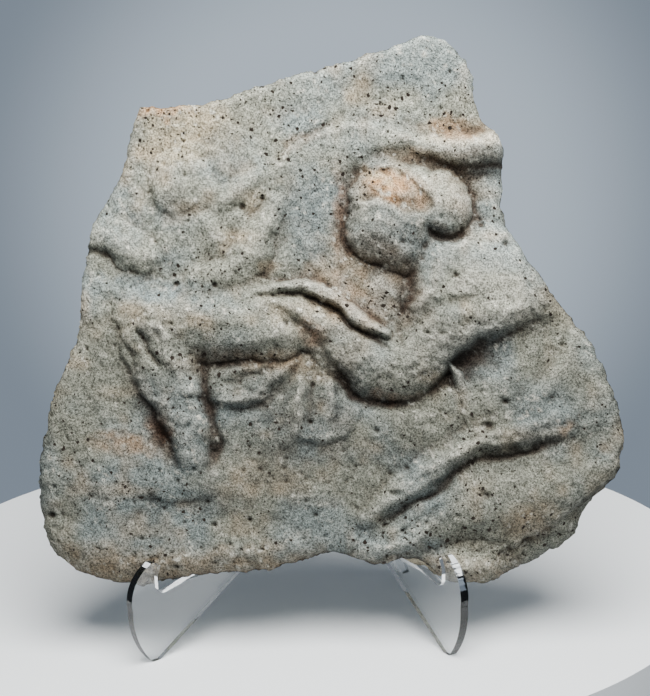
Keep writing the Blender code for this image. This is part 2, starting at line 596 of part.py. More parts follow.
def seated_place(body, plates):
    """The slab's place, tilted and lowered until both seats and a hook hold it, a seat gap from each."""
    place = Matrix.Translation((SLAB_SHIFT, SLAB_THICKNESS, SEAT_HEIGHT)) @ Matrix.Rotation(-SLAB_LEAN, 4, "X")
    for _ in range(SEATING_STEPS):
        lifts, pushes, middles = seat_rooms(body, plates, place)
        tilt = 0.6 * math.atan2(lifts[1] - lifts[0], middles[1] - middles[0])
        pivot = Vector((middles[0], 0, 0))
        turned = Matrix.Translation(pivot) @ Matrix.Rotation(-tilt, 4, "Y") @ Matrix.Translation(-pivot)
        place = Matrix.Translation((0, 0.8 * max(pushes), lifts[0])) @ turned @ place
    for _ in range(2):
        lifts, pushes, middles = seat_rooms(body, plates, place)
        place = Matrix.Translation((0, max(pushes), max(lifts))) @ place
    return place


def back_run(back_point, back_normal, matrix, height):
    """Run of an upright's front edge at a height, a seat gap behind the slab's back."""
    corners = []
    for across in (-PLATE_THICKNESS / 2, PLATE_THICKNESS / 2):
        start = matrix @ Vector((0, across, height))
        forward = matrix.to_3x3() @ Vector((1, 0, 0))
        corners.append((SEAT_GAP + (back_point - start).dot(back_normal)) / forward.dot(back_normal))
    return min(corners)


def arc(start, through, end, count=10):
    """Points on the circle through three places, after the first one."""
    a, b, c = (complex(*p) for p in (start, through, end))
    w = (c - a) / (b - a)
    centre = (b - a) * (w - abs(w) ** 2) / (2j * w.imag) + a
    first, middle, last = ((p - centre) / abs(p - centre) for p in (a, b, c))
    turn = math.atan2((last / first).imag, (last / first).real) % math.tau
    if math.atan2((middle / first).imag, (middle / first).real) % math.tau > turn:
        turn -= math.tau
    spots = [centre + (a - centre) * complex(math.cos(turn * i / count), math.sin(turn * i / count))
             for i in range(1, count + 1)]
    return [(p.real, p.imag) for p in spots]


def plate_outline(front_edge):
    """Run and height along a plate's cut edge, from the back of its front foot round to its start.

    The upright's round top begins where the leaning front edge meets it smoothly, so it keeps the seat gap.
    """
    seat_back = front_edge(SEAT_HEIGHT)
    rounding = UPRIGHT_WIDTH / 2
    neck = UPRIGHT_HEIGHT - rounding
    lean = math.atan2(seat_back - front_edge(neck), neck - SEAT_HEIGHT)
    middle = front_edge(neck) - rounding / math.cos(lean)
    waist = front_edge(ARCH_HEIGHT + 1.6 * BRIDGE_DEPTH) - UPRIGHT_WIDTH
    line = [(0.0, 0.0), (FOOT_LENGTH, 0.0)]
    line += arc(line[-1], (FRONT_REACH - 0.0016, 0.55 * FRONT_REACH_HEIGHT), (FRONT_REACH, FRONT_REACH_HEIGHT))
    line += arc(line[-1], (FRONT_REACH - 0.0045, HOOK_HEIGHT - 0.0065), (0.0030, HOOK_HEIGHT))
    line += arc(line[-1], (-0.0008, HOOK_HEIGHT - 0.0006), (-0.0030, HOOK_TIP_HEIGHT), 5)
    line += hook_wall()[1:]
    line += seat_line()[1:]
    line += [(seat_back, SEAT_HEIGHT), (middle + rounding * math.cos(lean), neck + rounding * math.sin(lean))]
    line += arc(line[-1], (middle, UPRIGHT_HEIGHT), (middle - rounding, neck), 8)
    line += [(waist, ARCH_HEIGHT + 1.6 * BRIDGE_DEPTH)]
    shoulder = (min(waist - 0.004, -ARCH_RUN), ARCH_HEIGHT + BRIDGE_DEPTH)
    line += arc(line[-1], ((waist + shoulder[0]) / 2 + 0.0008, ARCH_HEIGHT + 1.22 * BRIDGE_DEPTH), shoulder, 4)
    knee = (-BACK_FOOT_RUN + 2 * LEG_WIDTH, 0.85 * ARCH_HEIGHT)
    line += arc(line[-1], (0.45 * shoulder[0] + 0.55 * knee[0] - 0.006, ARCH_HEIGHT + 0.42 * BRIDGE_DEPTH), knee)
    line += [(-BACK_FOOT_RUN, 0.0), (-BACK_FOOT_RUN + FOOT_LENGTH, 0.0)]
    inner = (knee[0] + LEG_WIDTH, 0.70 * ARCH_HEIGHT)
    landing = (-0.80 * ARCH_RUN, 0.80 * ARCH_RUN * UNDERSIDE_RISE)
    line += [inner] + arc(inner, (-ARCH_RUN, ARCH_HEIGHT), landing)
    return line


def link(name, mesh, material):
    obj = bpy.data.objects.new(name, mesh)
    mesh.materials.append(material)
    bpy.context.scene.collection.objects.link(obj)
    return obj


def plate(name, outline, matrix, material):
    """A plate cut from clear sheet along an outline in its own upright plane."""
    body = bmesh.new()
    near = [body.verts.new((run, -PLATE_THICKNESS / 2, height)) for run, height in outline]
    face = body.faces.new(near)
    moved = bmesh.ops.extrude_face_region(body, geom=[face])["geom"]
    far = [item for item in moved if isinstance(item, bmesh.types.BMVert)]
    bmesh.ops.translate(body, vec=(0, PLATE_THICKNESS, 0), verts=far)
    bmesh.ops.recalc_face_normals(body, faces=body.faces)
    mesh = bpy.data.meshes.new(name)
    body.to_mesh(mesh)
    body.free()
    obj = link(name, mesh, material)
    obj.matrix_world = matrix
    return obj


def cut_lap(target, matrix, run, low, high, material):
    """Cuts the slot that lets the other plate, whose place is the matrix, through this one."""
    reach = 6 * PLATE_THICKNESS
    body = bmesh.new()
    bmesh.ops.create_cube(body, size=1.0)
    bmesh.ops.scale(body, vec=(reach, PLATE_THICKNESS + 2 * LAP_GAP, high - low), verts=body.verts)
    bmesh.ops.translate(body, vec=(-run, 0, (low + high) / 2), verts=body.verts)
    mesh = bpy.data.meshes.new(target.name + "_lap_cutter")
    body.to_mesh(mesh)
    body.free()
    cutter = link(mesh.name, mesh, material)
    cutter.matrix_world = matrix
    cutter.hide_render = True
    cutter.display_type = "WIRE"
    lap = target.modifiers.new("lap", "BOOLEAN")
    lap.operation = "DIFFERENCE"
    lap.object = cutter


def crossing():
    """How far behind its front foot each plate meets the other one: left run and right run."""
    across = math.sin(LEFT_TURN + RIGHT_TURN)
    return FOOT_SPREAD * math.cos(RIGHT_TURN) / across, FOOT_SPREAD * math.cos(LEFT_TURN) / across


def make_material(name, color, roughness, alpha=1.0, transmission=0.0, ior=1.5):
    material = bpy.data.materials.new(name)
    material.use_nodes = True
    shader = material.node_tree.nodes["Principled BSDF"]
    shader.inputs["Base Color"].default_value = (*color, 1)
    shader.inputs["Roughness"].default_value = roughness
    shader.inputs["Metallic"].default_value = 0.0
    shader.inputs["Alpha"].default_value = alpha
    shader.inputs["Transmission Weight"].default_value = transmission
    shader.inputs["IOR"].default_value = ior
    return material


def main():
    for obj in list(bpy.data.objects):
        bpy.data.objects.remove(obj, do_unlink=True)
    stone = make_material("stone", (0.36, 0.35, 0.31), 0.9)
    acrylic = make_material("clear_acrylic", (0.95, 0.97, 0.98), 0.05, transmission=1.0, ior=1.49)
    left = plate_matrix(-1, LEFT_TURN)
    right = plate_matrix(1, RIGHT_TURN)

    body = thinned_slab()
    place = seated_place(body, [(left, LEFT_TURN), (right, RIGHT_TURN)])
    body.normal_update()
    back = max(body.faces, key=lambda face: face.calc_area())
    back_point = place @ back.verts[0].co
    back_normal = place.to_3x3() @ back.normal
    bmesh.ops.triangulate(body, faces=[back])
    mesh = bpy.data.meshes.new("relief_slab")
    body.to_mesh(mesh)
    body.free()
    slab = link("relief_slab", mesh, stone)
    slab.matrix_world = place

    plates = []
    for name, matrix in (("stand_plate_left", left), ("stand_plate_right", right)):
        outline = plate_outline(lambda height, m=matrix: back_run(back_point, back_normal, m, height))
        plates.append(plate(name, outline, matrix, acrylic))
    lap_runs = crossing()
    lap_height = ARCH_HEIGHT + BRIDGE_DEPTH / 2
    cut_lap(plates[0], right, lap_runs[1], 0.0, lap_height + LAP_GAP / 2, acrylic)
    cut_lap(plates[1], left, lap_runs[0], lap_height - LAP_GAP / 2, UPRIGHT_HEIGHT, acrylic)

    corners = [obj.matrix_world @ vertex.co for obj in [slab] + plates for vertex in obj.data.vertices]
    middle = Vector([(min(c[k] for c in corners) + max(c[k] for c in corners)) / 2 for k in (0, 1)] + [0])
    for obj in bpy.data.objects:
        obj.location -= middle


main()
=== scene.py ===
"""Looks of a carved stone relief that leans on two crossed plates of clear acrylic.

The slab's carving is laid out on a drawing grid that the slab's outline fills. A level is a carving height
above the ground of the relief, and the highest carving is at the top level.
"""

import math

import bpy
import numpy as np
from mathutils import Matrix, Vector


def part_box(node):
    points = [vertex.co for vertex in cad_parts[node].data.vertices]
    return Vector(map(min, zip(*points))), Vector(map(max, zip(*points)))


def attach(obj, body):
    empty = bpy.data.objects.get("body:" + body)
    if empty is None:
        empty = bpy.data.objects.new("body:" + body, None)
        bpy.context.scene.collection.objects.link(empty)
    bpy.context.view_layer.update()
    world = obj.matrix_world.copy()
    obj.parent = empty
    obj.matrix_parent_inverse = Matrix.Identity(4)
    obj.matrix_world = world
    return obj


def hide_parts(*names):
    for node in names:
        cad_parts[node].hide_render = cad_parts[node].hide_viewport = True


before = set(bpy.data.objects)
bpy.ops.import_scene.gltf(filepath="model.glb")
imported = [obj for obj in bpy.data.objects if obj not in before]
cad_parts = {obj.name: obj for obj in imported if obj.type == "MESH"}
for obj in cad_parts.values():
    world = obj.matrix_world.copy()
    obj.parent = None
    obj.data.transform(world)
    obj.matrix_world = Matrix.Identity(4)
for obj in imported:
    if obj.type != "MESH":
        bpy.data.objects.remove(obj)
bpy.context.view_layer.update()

# Stone slab, at its real size and in its place on the stand
SLAB_WIDTH = 0.320
SLAB_HEIGHT = 0.302
SLAB_THICKNESS = 0.032
RELIEF_DEPTH = 0.020
EDGE_ROUND_TOP = 0.004
EDGE_ROUND_BOTTOM = 0.009
BACK_INSET = 0.005
BACK_INSET_BOTTOM = 0.011
CORNER_EASE = 0.014
HEEL_DROP = 0.0097
SLAB_LEAN = math.radians(15.0)
SLAB_ROLL = math.radians(1.371488)
SLAB_PLACE = (-0.001705, -0.0381856, 0.0296717)

# Drawing grid: the slab's outline fills these columns and rows
FIRST_COLUMN = 39.0
LAST_COLUMN = 622.5
FIRST_ROW = 36.0
LAST_ROW = 586.0
TOP_LEVEL = 20.0
HEEL_COLUMN = 424.0
HEEL_SPREAD = 26.0

# How finely the slab is cut
COLUMNS = 300
ROWS = 272
SIDE_BANDS = 12
BACK_RING_SHARES = (0.04, 0.5)
SIDE_REACH = 5

# Camera
VIEW_RISE = math.radians(14.67)
VIEW_TURN = math.radians(0.667)
VIEW_ROLL = math.radians(-1.555)
VIEW_DISTANCE = 1.10
VIEW_TARGET = (-0.00188, 0.0, 0.15465)
LENS = 100.55
SENSOR = 36.0

CLIP_NEAR = 0.05
CLIP_FAR = 20

# Round pale floor
FLOOR_CENTRE = (-0.0207, 0.0598)
FLOOR_RADIUS = 0.246
FLOOR_THICKNESS = 0.03
FLOOR_SIDES = 256
FLOOR_COLOR = (247, 252, 255)
FLOOR_ROUGHNESS = 0.8
FLOOR_SPECULAR = 0.2

# Square backdrop behind the stand, with a round glow; the glow's span is in shares of its radius
BACKDROP_DISTANCE = 4.0
BACKDROP_SIZE = 6.4
BACKDROP_HEIGHT = -0.518
BACKDROP_MIDDLE = (189, 203, 217)
BACKDROP_EDGE = (127, 139, 153)
GLOW_SCALE = 0.894
GLOW_SPAN = (0.08, 0.60)

# Light
SKY_COLOR = (190, 200, 212)
SKY_STRENGTH = 0.34
KEY_PLACE = (0.06, -0.40, 0.95)
KEY_TARGET = (0, 0, 0.15)
KEY_SIZE = 0.9
KEY_POWER = 26.0
KEY_COLOR = (1.0, 0.985, 0.955)
FILL_PLACE = (0.9, -1.2, 0.7)
FILL_TARGET = (0, 0, 0.12)
FILL_SIZE = 1.2
FILL_POWER = 2.5
FILL_COLOR = (0.95, 0.98, 1.0)

# Clear sheet
SHEET_COLOR = (0.985, 0.995, 1.0, 1)
SHEET_ROUGHNESS = 0.02
SHEET_IOR = 1.49

# Stone in the shader. A noise is its scale per metre, its detail and its roughness. A stretch is the noise's
# low and high value and what they become. A pore kind is its cells per metre and its half width in cells.
FLECK_NOISE = (1000.0, 4.0, 0.85)
FLECK_STRETCH = (0.41, 0.59, 0.30, 1.70)
CLOUD_NOISE = (38.0, 3.0, 0.6)
CLOUD_STRETCH = (0.3, 0.7, 0.88, 1.12)
CROWD_NOISE = (22.0, 2.0, 0.5)
CROWD_STRETCH = (0.38, 0.64, 0.55, 1.25)
BEND_NOISE = (420.0, 2.0, 0.5)
BEND_AMOUNT = 0.0026
SKIN_NOISE = (1100.0, 4.0, 0.7)
FINE_PORES = (340.0, 0.17)
WIDE_PORES = (165.0, 0.165)
PORE_RIM = 0.035
PORE_COLOR = (0.022, 0.016, 0.012, 1)
BUMP_STRENGTH = 0.9
BUMP_DISTANCE = 0.0012
STONE_ROUGHNESS = 0.92
STONE_SPECULAR = 0.25

# Broken edge and sides of the slab: height and lump size of each noise, in grid steps. On the sides
# the height is a share of the inset at the back.
EDGE_NOISE = [(1.5, 13), (1.0, 6), (0.5, 2.6)]
EDGE_FADE = 12
SIDE_NOISE = [(0.3, 16), (0.2, 9), (0.12, 5)]
SIDE_SPOT_RUN = 40
SIDE_NOISE_RUN = 60
BACK_SPOT = 330

# Rows over which the slab passes from its upper part to its lower edge, and over which painted shade darkens
# it towards the bottom
BOTTOM_ROWS = (400, 530)
LOW_SHADE_ROWS = (210, 420)

# Pits spread over the stone: cell in grid steps, seed, share of cells with a pit, radius, depth in levels
PIT_KINDS = [(14.0, 64, 0.30, 1.8, 1.8), (34.0, 67, 0.24, 2.7, 2.6)]
PIT_JITTER = 0.8

# Wear of the carving: how far it shifts its edges, and the lump size, in grid steps
WEAR_NOISE = [(2.0, 17), (1.1, 7)]

# Mottling of the front: how much of its ground is blue grey or tan, and how strong its clouds and specks are
BLUE_SHARE = 0.6
TAN_SHARE = 0.55
CLOUD_SHARE = 0.16
SPECK_SHARE = 0.20

# Hollows and crests: reach in grid steps and weight of each blur that finds them, the level at which
# each has its full colour, and that colour's share. The hollows get painted shade, brown like the dirt in
# them, and the crests a pale wear. Then light flecks, painted light on upward faces and painted shade on the
# low part.
CAVITY_BLURS = [(4, 0.6), (12, 0.4)]
CAVITY_FULL = 2.6
CAVITY_SHARE = 0.80
CREST_FULL = 2.2
CREST_SHARE = 0.25
FLECK_SHARE = 0.85
UPWARD_LIGHT_SLOPE = 0.7
UPWARD_LIGHT_SHARE = 0.17
LOW_SHADE_SHARE = 0.40

# Colours of the stone and its patches, as seen (sRGB); the deep brown and the slate are painted shade, and
# the grey stone is both stone colour and painted shade
GREY_GREEN = (144, 146, 132)
BLUE_GREY = (130, 147, 151)
BEIGE = (190, 176, 146)
ORANGE_TAN = (182, 140, 98)
TAN = (178, 154, 122)
BROWN = (112, 88, 64)
# Painted shade in hollows, crevices and under forms, brown like the dirt there
SHADE_BROWN = (58, 42, 31)
CREAM = (226, 214, 188)
PALE = (214, 212, 198)
RED_BROWN = (142, 102, 74)
# Painted shade under the mantle's roll and the head, on the seat cloth and in crevices
SHADE_SLATE = (84, 88, 86)
GREY_STONE_AND_SHADE = (112, 115, 108)
GRANITE_TAN = (158, 138, 110)

# Wide pits in the stone: column, row, half width, half height, depth in levels
LARGE_PITS = [(487, 427, 8.5, 6, 3.6), (395, 493, 10, 4, 3.0), (504, 402, 4, 3.5, 2.8),
              (263, 200, 2.6, 2.4, 2.6), (402, 244, 3.4, 3, 2.6), (440, 220, 3, 3, 2.4)]

# Fine folds of the cloths: half width in grid steps, height in levels, and the stations of the fold
FINE_FOLDS = [
    (3.0, 0.9, [(440, 455), (470, 442), (503, 443), (537, 437), (567, 433)]),
    (2.5, -1.2, [(457, 462), (480, 460), (513, 455), (547, 448), (567, 437)]),
    (2.5, 0.8, [(393, 497), (420, 477), (447, 463), (477, 450)]),
    (2.3, -0.8, [(420, 490), (443, 478), (470, 467)]),
    (2.3, 0.6, [(417, 497), (447, 487), (477, 468)]),
    (3.0, 1.0, [(210, 390), (230, 390), (250, 380), (273, 365), (297, 355)]),
    (2.5, -0.9, [(213, 397), (233, 398), (257, 390), (280, 375)]),
    (2.5, 0.9, [(235, 403), (257, 400), (280, 388), (293, 375)]),
    (2.2, 0.9, [(297, 388), (295, 415), (292, 442)]),
    (2.2, 0.7, [(320, 365), (330, 392), (337, 422)]),
    (2.2, 0.6, [(317, 342), (317, 375)]),
    (2.4, 0.7, [(280, 292), (320, 318), (352, 352), (372, 378)]),
    (2.4, -0.7, [(292, 292), (330, 316), (362, 346)]),
]

# Broken, rough skin of the stone: column, row, half width, half height, turn in degrees, height in levels
ROUGH_SKIN = [(474, 330, 58, 11, -10, 1.3), (345, 345, 16, 52, -40, 0.7), (480, 448, 100, 15, -15, 0.9),
              (180, 385, 18, 60, -16, 0.6), (400, 372, 44, 10, -8, 0.9), (452, 300, 22, 14, 20, 0.8),
              (150, 330, 30, 14, 0, 0.6), (488, 146, 12, 9, 0, 0.8), (395, 190, 36, 17, 20, 0.8),
              (300, 575, 320, 22, 0, 0.7), (340, 300, 60, 8, 30, 0.6)]

# Coloured patches: column, row, half width, half height, turn in degrees, colour, strength. The slate and
# deep brown patches, and the brown, red brown and grey stone ones along crevices and under the mantle's roll,
# the head, the arm and the legs' crease, are painted shade; the rest are the stone's stains and colour.
PATCHES = [
    (190, 136, 50, 32, 0, BEIGE, 0.85), (163, 112, 24, 8, -8, ORANGE_TAN, 1.0),
    (457, 131, 34, 12, 4, ORANGE_TAN, 0.6), (488, 146, 10, 6, 0, CREAM, 0.8),
    (458, 145, 36, 5, 2, CREAM, 0.45), (468, 162, 30, 9, 3, BROWN, 0.55), (302, 144, 28, 7, -36, BROWN, 0.6),
    (410, 158, 36, 9, 5, BROWN, 0.55), (462, 205, 15, 34, -12, BROWN, 0.5),
    (350, 222, 7, 40, 0, SHADE_BROWN, 0.8), (395, 190, 36, 17, 20, ORANGE_TAN, 1.15),
    (376, 178, 14, 7, 20, BEIGE, 0.8), (384, 256, 28, 14, 15, BROWN, 0.5),
    (446, 233, 16, 6, 8, SHADE_BROWN, 0.75), (352, 288, 46, 42, 24, ORANGE_TAN, 0.4),
    (418, 300, 12, 34, -20, BROWN, 0.55), (440, 262, 30, 16, 20, GREY_STONE_AND_SHADE, 0.35),
    (381, 288, 11, 8, 0, PALE, 0.55), (407, 304, 10, 30, 0, SHADE_BROWN, 0.7), (460, 287, 17, 8, 0, PALE, 0.5),
    (270, 270, 9, 8, 0, TAN, 0.5), (142, 288, 58, 12, 2, BLUE_GREY, 0.7),
    (310, 200, 34, 34, 0, BLUE_GREY, 0.6), (157, 332, 14, 8, 0, PALE, 0.55), (188, 370, 5, 11, 0, PALE, 0.5),
    (475, 331, 52, 11, -10, PALE, 0.4), (326, 396, 4, 18, 0, PALE, 0.5), (145, 388, 8, 28, -32, PALE, 0.5),
    (160, 428, 11, 18, -14, RED_BROWN, 0.85), (128, 446, 32, 11, 4, ORANGE_TAN, 0.55),
    (262, 362, 54, 12, 4, ORANGE_TAN, 0.45), (211, 403, 9, 15, 0, SHADE_BROWN, 0.7),
    (212, 455, 12, 16, 0, SHADE_BROWN, 0.55), (312, 335, 12, 18, -38, RED_BROWN, 0.6),
    (345, 378, 12, 22, -28, SHADE_BROWN, 0.65), (392, 398, 34, 6, 0, RED_BROWN, 0.5),
    (470, 367, 30, 14, -18, SHADE_BROWN, 0.65), (405, 345, 60, 34, -10, GREY_STONE_AND_SHADE, 0.45),
    (385, 240, 34, 30, 10, GREY_STONE_AND_SHADE, 0.4), (456, 376, 5, 13, -28, PALE, 0.6),
    (565, 428, 9, 8, 0, ORANGE_TAN, 0.6), (466, 160, 32, 11, 3, SHADE_SLATE, 0.8),
    (446, 150, 44, 4, 6, SHADE_SLATE, 0.35), (352, 214, 22, 34, 0, GREY_STONE_AND_SHADE, 0.55),
    (372, 232, 36, 20, 12, GREY_STONE_AND_SHADE, 0.5), (420, 196, 22, 26, -20, GREY_STONE_AND_SHADE, 0.4),
    (286, 402, 54, 28, 12, SHADE_SLATE, 0.85), (337, 408, 10, 20, -10, SHADE_SLATE, 1.0),
    (250, 392, 44, 18, 5, GREY_STONE_AND_SHADE, 0.4), (182, 355, 24, 50, -24, GREY_STONE_AND_SHADE, 0.35),
    (344, 358, 26, 34, -35, SHADE_SLATE, 0.35), (430, 350, 60, 16, -14, GREY_STONE_AND_SHADE, 0.3),
    (495, 285, 48, 26, 40, PALE, 0.3), (285, 495, 70, 36, 0, GREY_STONE_AND_SHADE, 0.3),
    (400, 234, 34, 24, 10, SHADE_SLATE, 0.45), (308, 205, 34, 40, 0, GREY_STONE_AND_SHADE, 0.35),
    (520, 400, 60, 26, -28, GREY_STONE_AND_SHADE, 0.35), (400, 450, 70, 24, -10, GREY_STONE_AND_SHADE, 0.25),
    (512, 460, 66, 12, -24, GREY_STONE_AND_SHADE, 0.45), (186, 300, 60, 14, 4, BLUE_GREY, 0.5),
    (120, 220, 34, 30, 0, BLUE_GREY, 0.55), (232, 160, 32, 32, 0, BLUE_GREY, 0.5),
    (300, 572, 300, 16, 0, GRANITE_TAN, 0.7), (110, 566, 70, 16, 10, GRANITE_TAN, 0.6),
    (380, 258, 32, 14, 20, SHADE_BROWN, 0.5), (340, 215, 7, 42, 0, RED_BROWN, 0.6),
    (448, 158, 46, 7, 3, BROWN, 0.4), (530, 520, 30, 18, -16, TAN, 0.55), (510, 552, 14, 8, -10, BROWN, 0.45),
    (190, 562, 140, 18, 3, GRANITE_TAN, 0.5), (270, 465, 32, 26, 0, BROWN, 0.25),
    (560, 300, 34, 24, 30, BEIGE, 0.35), (420, 470, 30, 20, 0, BLUE_GREY, 0.35),
]

# The slab's outline, side by side, in grid steps
TOP_EDGE = [(140, 107), (188, 106), (228, 98), (277, 81), (330, 67), (389, 48), (423, 36), (445, 40)]
RIGHT_EDGE = [(445, 40), (464, 60), (473, 80), (480, 115), (496, 135), (502, 160), (504, 218), (522, 255),
              (553, 299), (588, 342), (612, 394), (622, 432), (616, 472), (599, 492), (583, 514), (577, 535)]
BOTTOM_EDGE = [(49, 546), (69, 566), (95, 579), (128, 585), (160, 583), (203, 575), (266, 570), (312, 558),
               (345, 555), (382, 566), (404, 558), (424, 563), (447, 579), (486, 583), (514, 572),
               (555, 550), (577, 535)]
LEFT_EDGE = [(140, 107), (131, 140), (121, 176), (97, 220), (82, 282), (81, 325), (63, 374), (49, 414),
             (39, 472), (42, 520), (49, 546)]


def smooth_line(stations, per_span=5):
    """Even curve through all stations, each with its further values."""
    s = np.asarray(stations, float)
    ends = np.vstack([2 * s[0] - s[1], s, 2 * s[-1] - s[-2]])
    rows = []
    for i in range(1, len(ends) - 2):
        a, b, c, d = ends[i - 1:i + 3]
        for t in np.arange(per_span) / per_span:
            rows.append(0.5 * (2 * b + (c - a) * t + (2 * a - 5 * b + 4 * c - d) * t * t
                               + (3 * b - a - 3 * c + d) * t ** 3))
    rows.append(s[-1])
    return np.array(rows)


def nearest(x, y, line):
    """Distance, side (+1 right of travel), share along and the line's further values."""
    best = np.full(x.shape, 1e9)
    side = np.zeros(x.shape)
    share = np.zeros(x.shape)
    extra = np.zeros((line.shape[1] - 2,) + x.shape)
    steps = np.hypot(*(line[1:, :2] - line[:-1, :2]).T)
    total = steps.sum()
    run = 0.0
    for a, b, length in zip(line[:-1], line[1:], steps):
        if length < 1e-6:
            continue
        dx, dy = b[:2] - a[:2]
        t = np.clip(((x - a[0]) * dx + (y - a[1]) * dy) / length ** 2, 0, 1)
        ox = x - a[0] - t * dx
        oy = y - a[1] - t * dy
        d = np.hypot(ox, oy)
        near = d < best
        best[near] = d[near]
        side[near] = np.sign(dx * oy - dy * ox)[near]
        share[near] = ((run + t * length) / total)[near]
        for k in range(extra.shape[0]):
            extra[k][near] = (a[2 + k] + t * (b[2 + k] - a[2 + k]))[near]
        run += length
    return best, side, share, extra


def ease(t):
    """0 to 1 with a soft start and a soft end."""
    t = np.clip(t, 0, 1)
    return t * t * (3 - 2 * t)


def smooth_max(a, b, k):
    """The larger of two heights, blended where they are less than k apart."""
    gap = np.clip(k - np.abs(a - b), 0, None) / k
    return np.maximum(a, b) + gap * gap * k / 4


def lattice(ix, iy, seed):
    """One random value from 0 to 1 for each crossing of a lattice."""
    v = np.sin(ix * 127.1 + iy * 311.7 + seed * 74.7) * 43758.5453
    return v - np.floor(v)


def grain(x, y, cell, seed):
    """Smooth noise from -1 to 1 whose lumps are about one cell wide."""
    gx, gy = x / cell, y / cell
    ix, iy = np.floor(gx), np.floor(gy)
    fx, fy = ease(gx - ix), ease(gy - iy)
    low = lattice(ix, iy, seed) * (1 - fx) + lattice(ix + 1, iy, seed) * fx
    high = lattice(ix, iy + 1, seed) * (1 - fx) + lattice(ix + 1, iy + 1, seed) * fx
    return 2 * (low * (1 - fy) + high * fy) - 1


def ends_fade(share, first, last):
    """0 at a path's ends and 1 between them."""
    start = ease(share / first) if first > 0 else 1.0
    stop = ease((1 - share) / last) if last > 0 else 1.0
    return start * stop


class Relief:
    """Heights over the slab's front, in levels, at places in drawing steps."""

    def __init__(self, x, y):
        self.x, self.y = x, y
        self.h = np.zeros(x.shape)

    def near(self, line, reach):
        """Numbers of the places within reach of a line."""
        low = line[:, :2].min(axis=0) - reach
        high = line[:, :2].max(axis=0) + reach
        return np.nonzero((self.x > low[0]) & (self.x < high[0]) & (self.y > low[1]) & (self.y < high[1]))[0]

    def limb(self, stations, blend=4.0, left=(1.0, 0.8), right=(1.0, 0.8)):
        """A worn rounded body along a path of (x, y, half width, height).

        Each side is (width factor, power): a low power is full and steep, a high one slopes off softly.
        """
        line = smooth_line(stations)
        at = self.near(line, line[:, 2].max() * max(left[0], right[0]) + 1)
        d, side, _, (half, top) = nearest(self.x[at], self.y[at], line)
        below = side > 0
        half = half * np.where(below, right[0], left[0])
        power = np.where(below, right[1], left[1])
        body = top * np.clip(1 - (d / half) ** 2, 0, None) ** power
        inside = d < half
        self.h[at[inside]] = smooth_max(self.h[at], body, blend)[inside]

    def mound(self, x, y, wide, high, top, turn=0.0, power=0.8, low_power=None, blend=4.0):
        """A worn lump with half axes wide and high, turned clockwise in degrees."""
        u, v = self.turned(x, y, turn)
        r = np.hypot(u / wide, v / high)
        at = np.nonzero(r < 1)[0]
        down = ease(0.5 + v[at] / high)
        steep = power + ((power if low_power is None else low_power) - power) * down
        body = top * (1 - r[at] ** 2) ** steep
        self.h[at] = smooth_max(self.h[at], body, blend)

    def turned(self, x, y, turn):
        """Places as seen from a point, turned clockwise in degrees."""
        c, s = np.cos(np.radians(turn)), np.sin(np.radians(turn))
        dx, dy = self.x - x, self.y - y
        return dx * c + dy * s, -dx * s + dy * c

    def swell(self, x, y, wide, high, amount, turn=0.0):
        """A soft rise or, with a negative amount, a soft hollow added to what is there."""
        u, v = self.turned(x, y, turn)
        self.h += amount * np.exp(-(u / wide) ** 2 - (v / high) ** 2)

    def fold(self, stations, amount, left=5.0, right=5.0, ends=(0.18, 0.18)):
        """A ridge, or with a negative amount a groove, that runs out at its ends."""
        line = smooth_line(stations)
        at = self.near(line, 2.5 * max(left, right))
        d, side, share, _ = nearest(self.x[at], self.y[at], line)
        width = np.where(side > 0, right, left)
        self.h[at] += amount * np.exp(-(d / width) ** 2) * ends_fade(share, *ends)

    def step(self, stations, amount, edge=3.0, reach=30.0, ends=(0.2, 0.2)):
        """Raises what lies right of the path, crisp at the path and fading over the reach."""
        line = smooth_line(stations)
        at = self.near(line, 2.2 * reach)
        d, side, share, _ = nearest(self.x[at], self.y[at], line)
        s = d * side
        rise = ease(0.5 + s / (2 * edge)) * np.exp(-(np.clip(s, 0, None) / reach) ** 2)
        self.h[at] += amount * rise * ends_fade(share, *ends)


# Profiles of a rounded body's side: width factor and power
TIGHT = (1.0, 0.6)
FULL = (1.0, 0.85)
SOFT = (1.1, 1.4)
WIDE = (1.4, 1.9)


def mantle(r):
    """The mantle's arched edge over both figures and its broken end at the right."""
    r.swell(312, 192, 52, 50, 4.5)
    r.swell(372, 150, 60, 22, 2.0)
    r.step([(246, 196), (262, 175), (280, 158), (298, 140), (325, 129), (360, 125), (395, 133), (425, 143),
            (452, 144), (480, 142), (505, 140)], 3.2, 5, 30, (0.3, 0))
    r.fold([(272, 170), (283, 156), (298, 139), (318, 129), (342, 122)], -1.5, 5, 2.5, (0.3, 0.3))
    r.fold([(302, 150), (318, 141), (342, 137), (372, 138)], -0.8, 4, 6)
    r.swell(452, 130, 34, 8, -1.2, 4)
    r.fold([(348, 172), (362, 160), (385, 156), (420, 160), (447, 172), (464, 190), (474, 212),
            (482, 240)], -3.0, 9, 7, (0.2, 0.25))
    r.limb([(418, 151, 6, 4), (440, 150, 12, 7), (465, 151, 18, 10.5), (490, 149, 20, 11.5),
            (516, 147, 20, 11)], 3, SOFT, TIGHT)
    r.fold([(436, 170), (458, 176), (482, 178), (510, 176)], -1.4, 3, 10, (0.2, 0))
    r.swell(490, 145, 11, 6, 1.0, 10)
    r.fold([(420, 148), (440, 141), (466, 139), (496, 138)], 0.8, 4, 4, (0.2, 0))


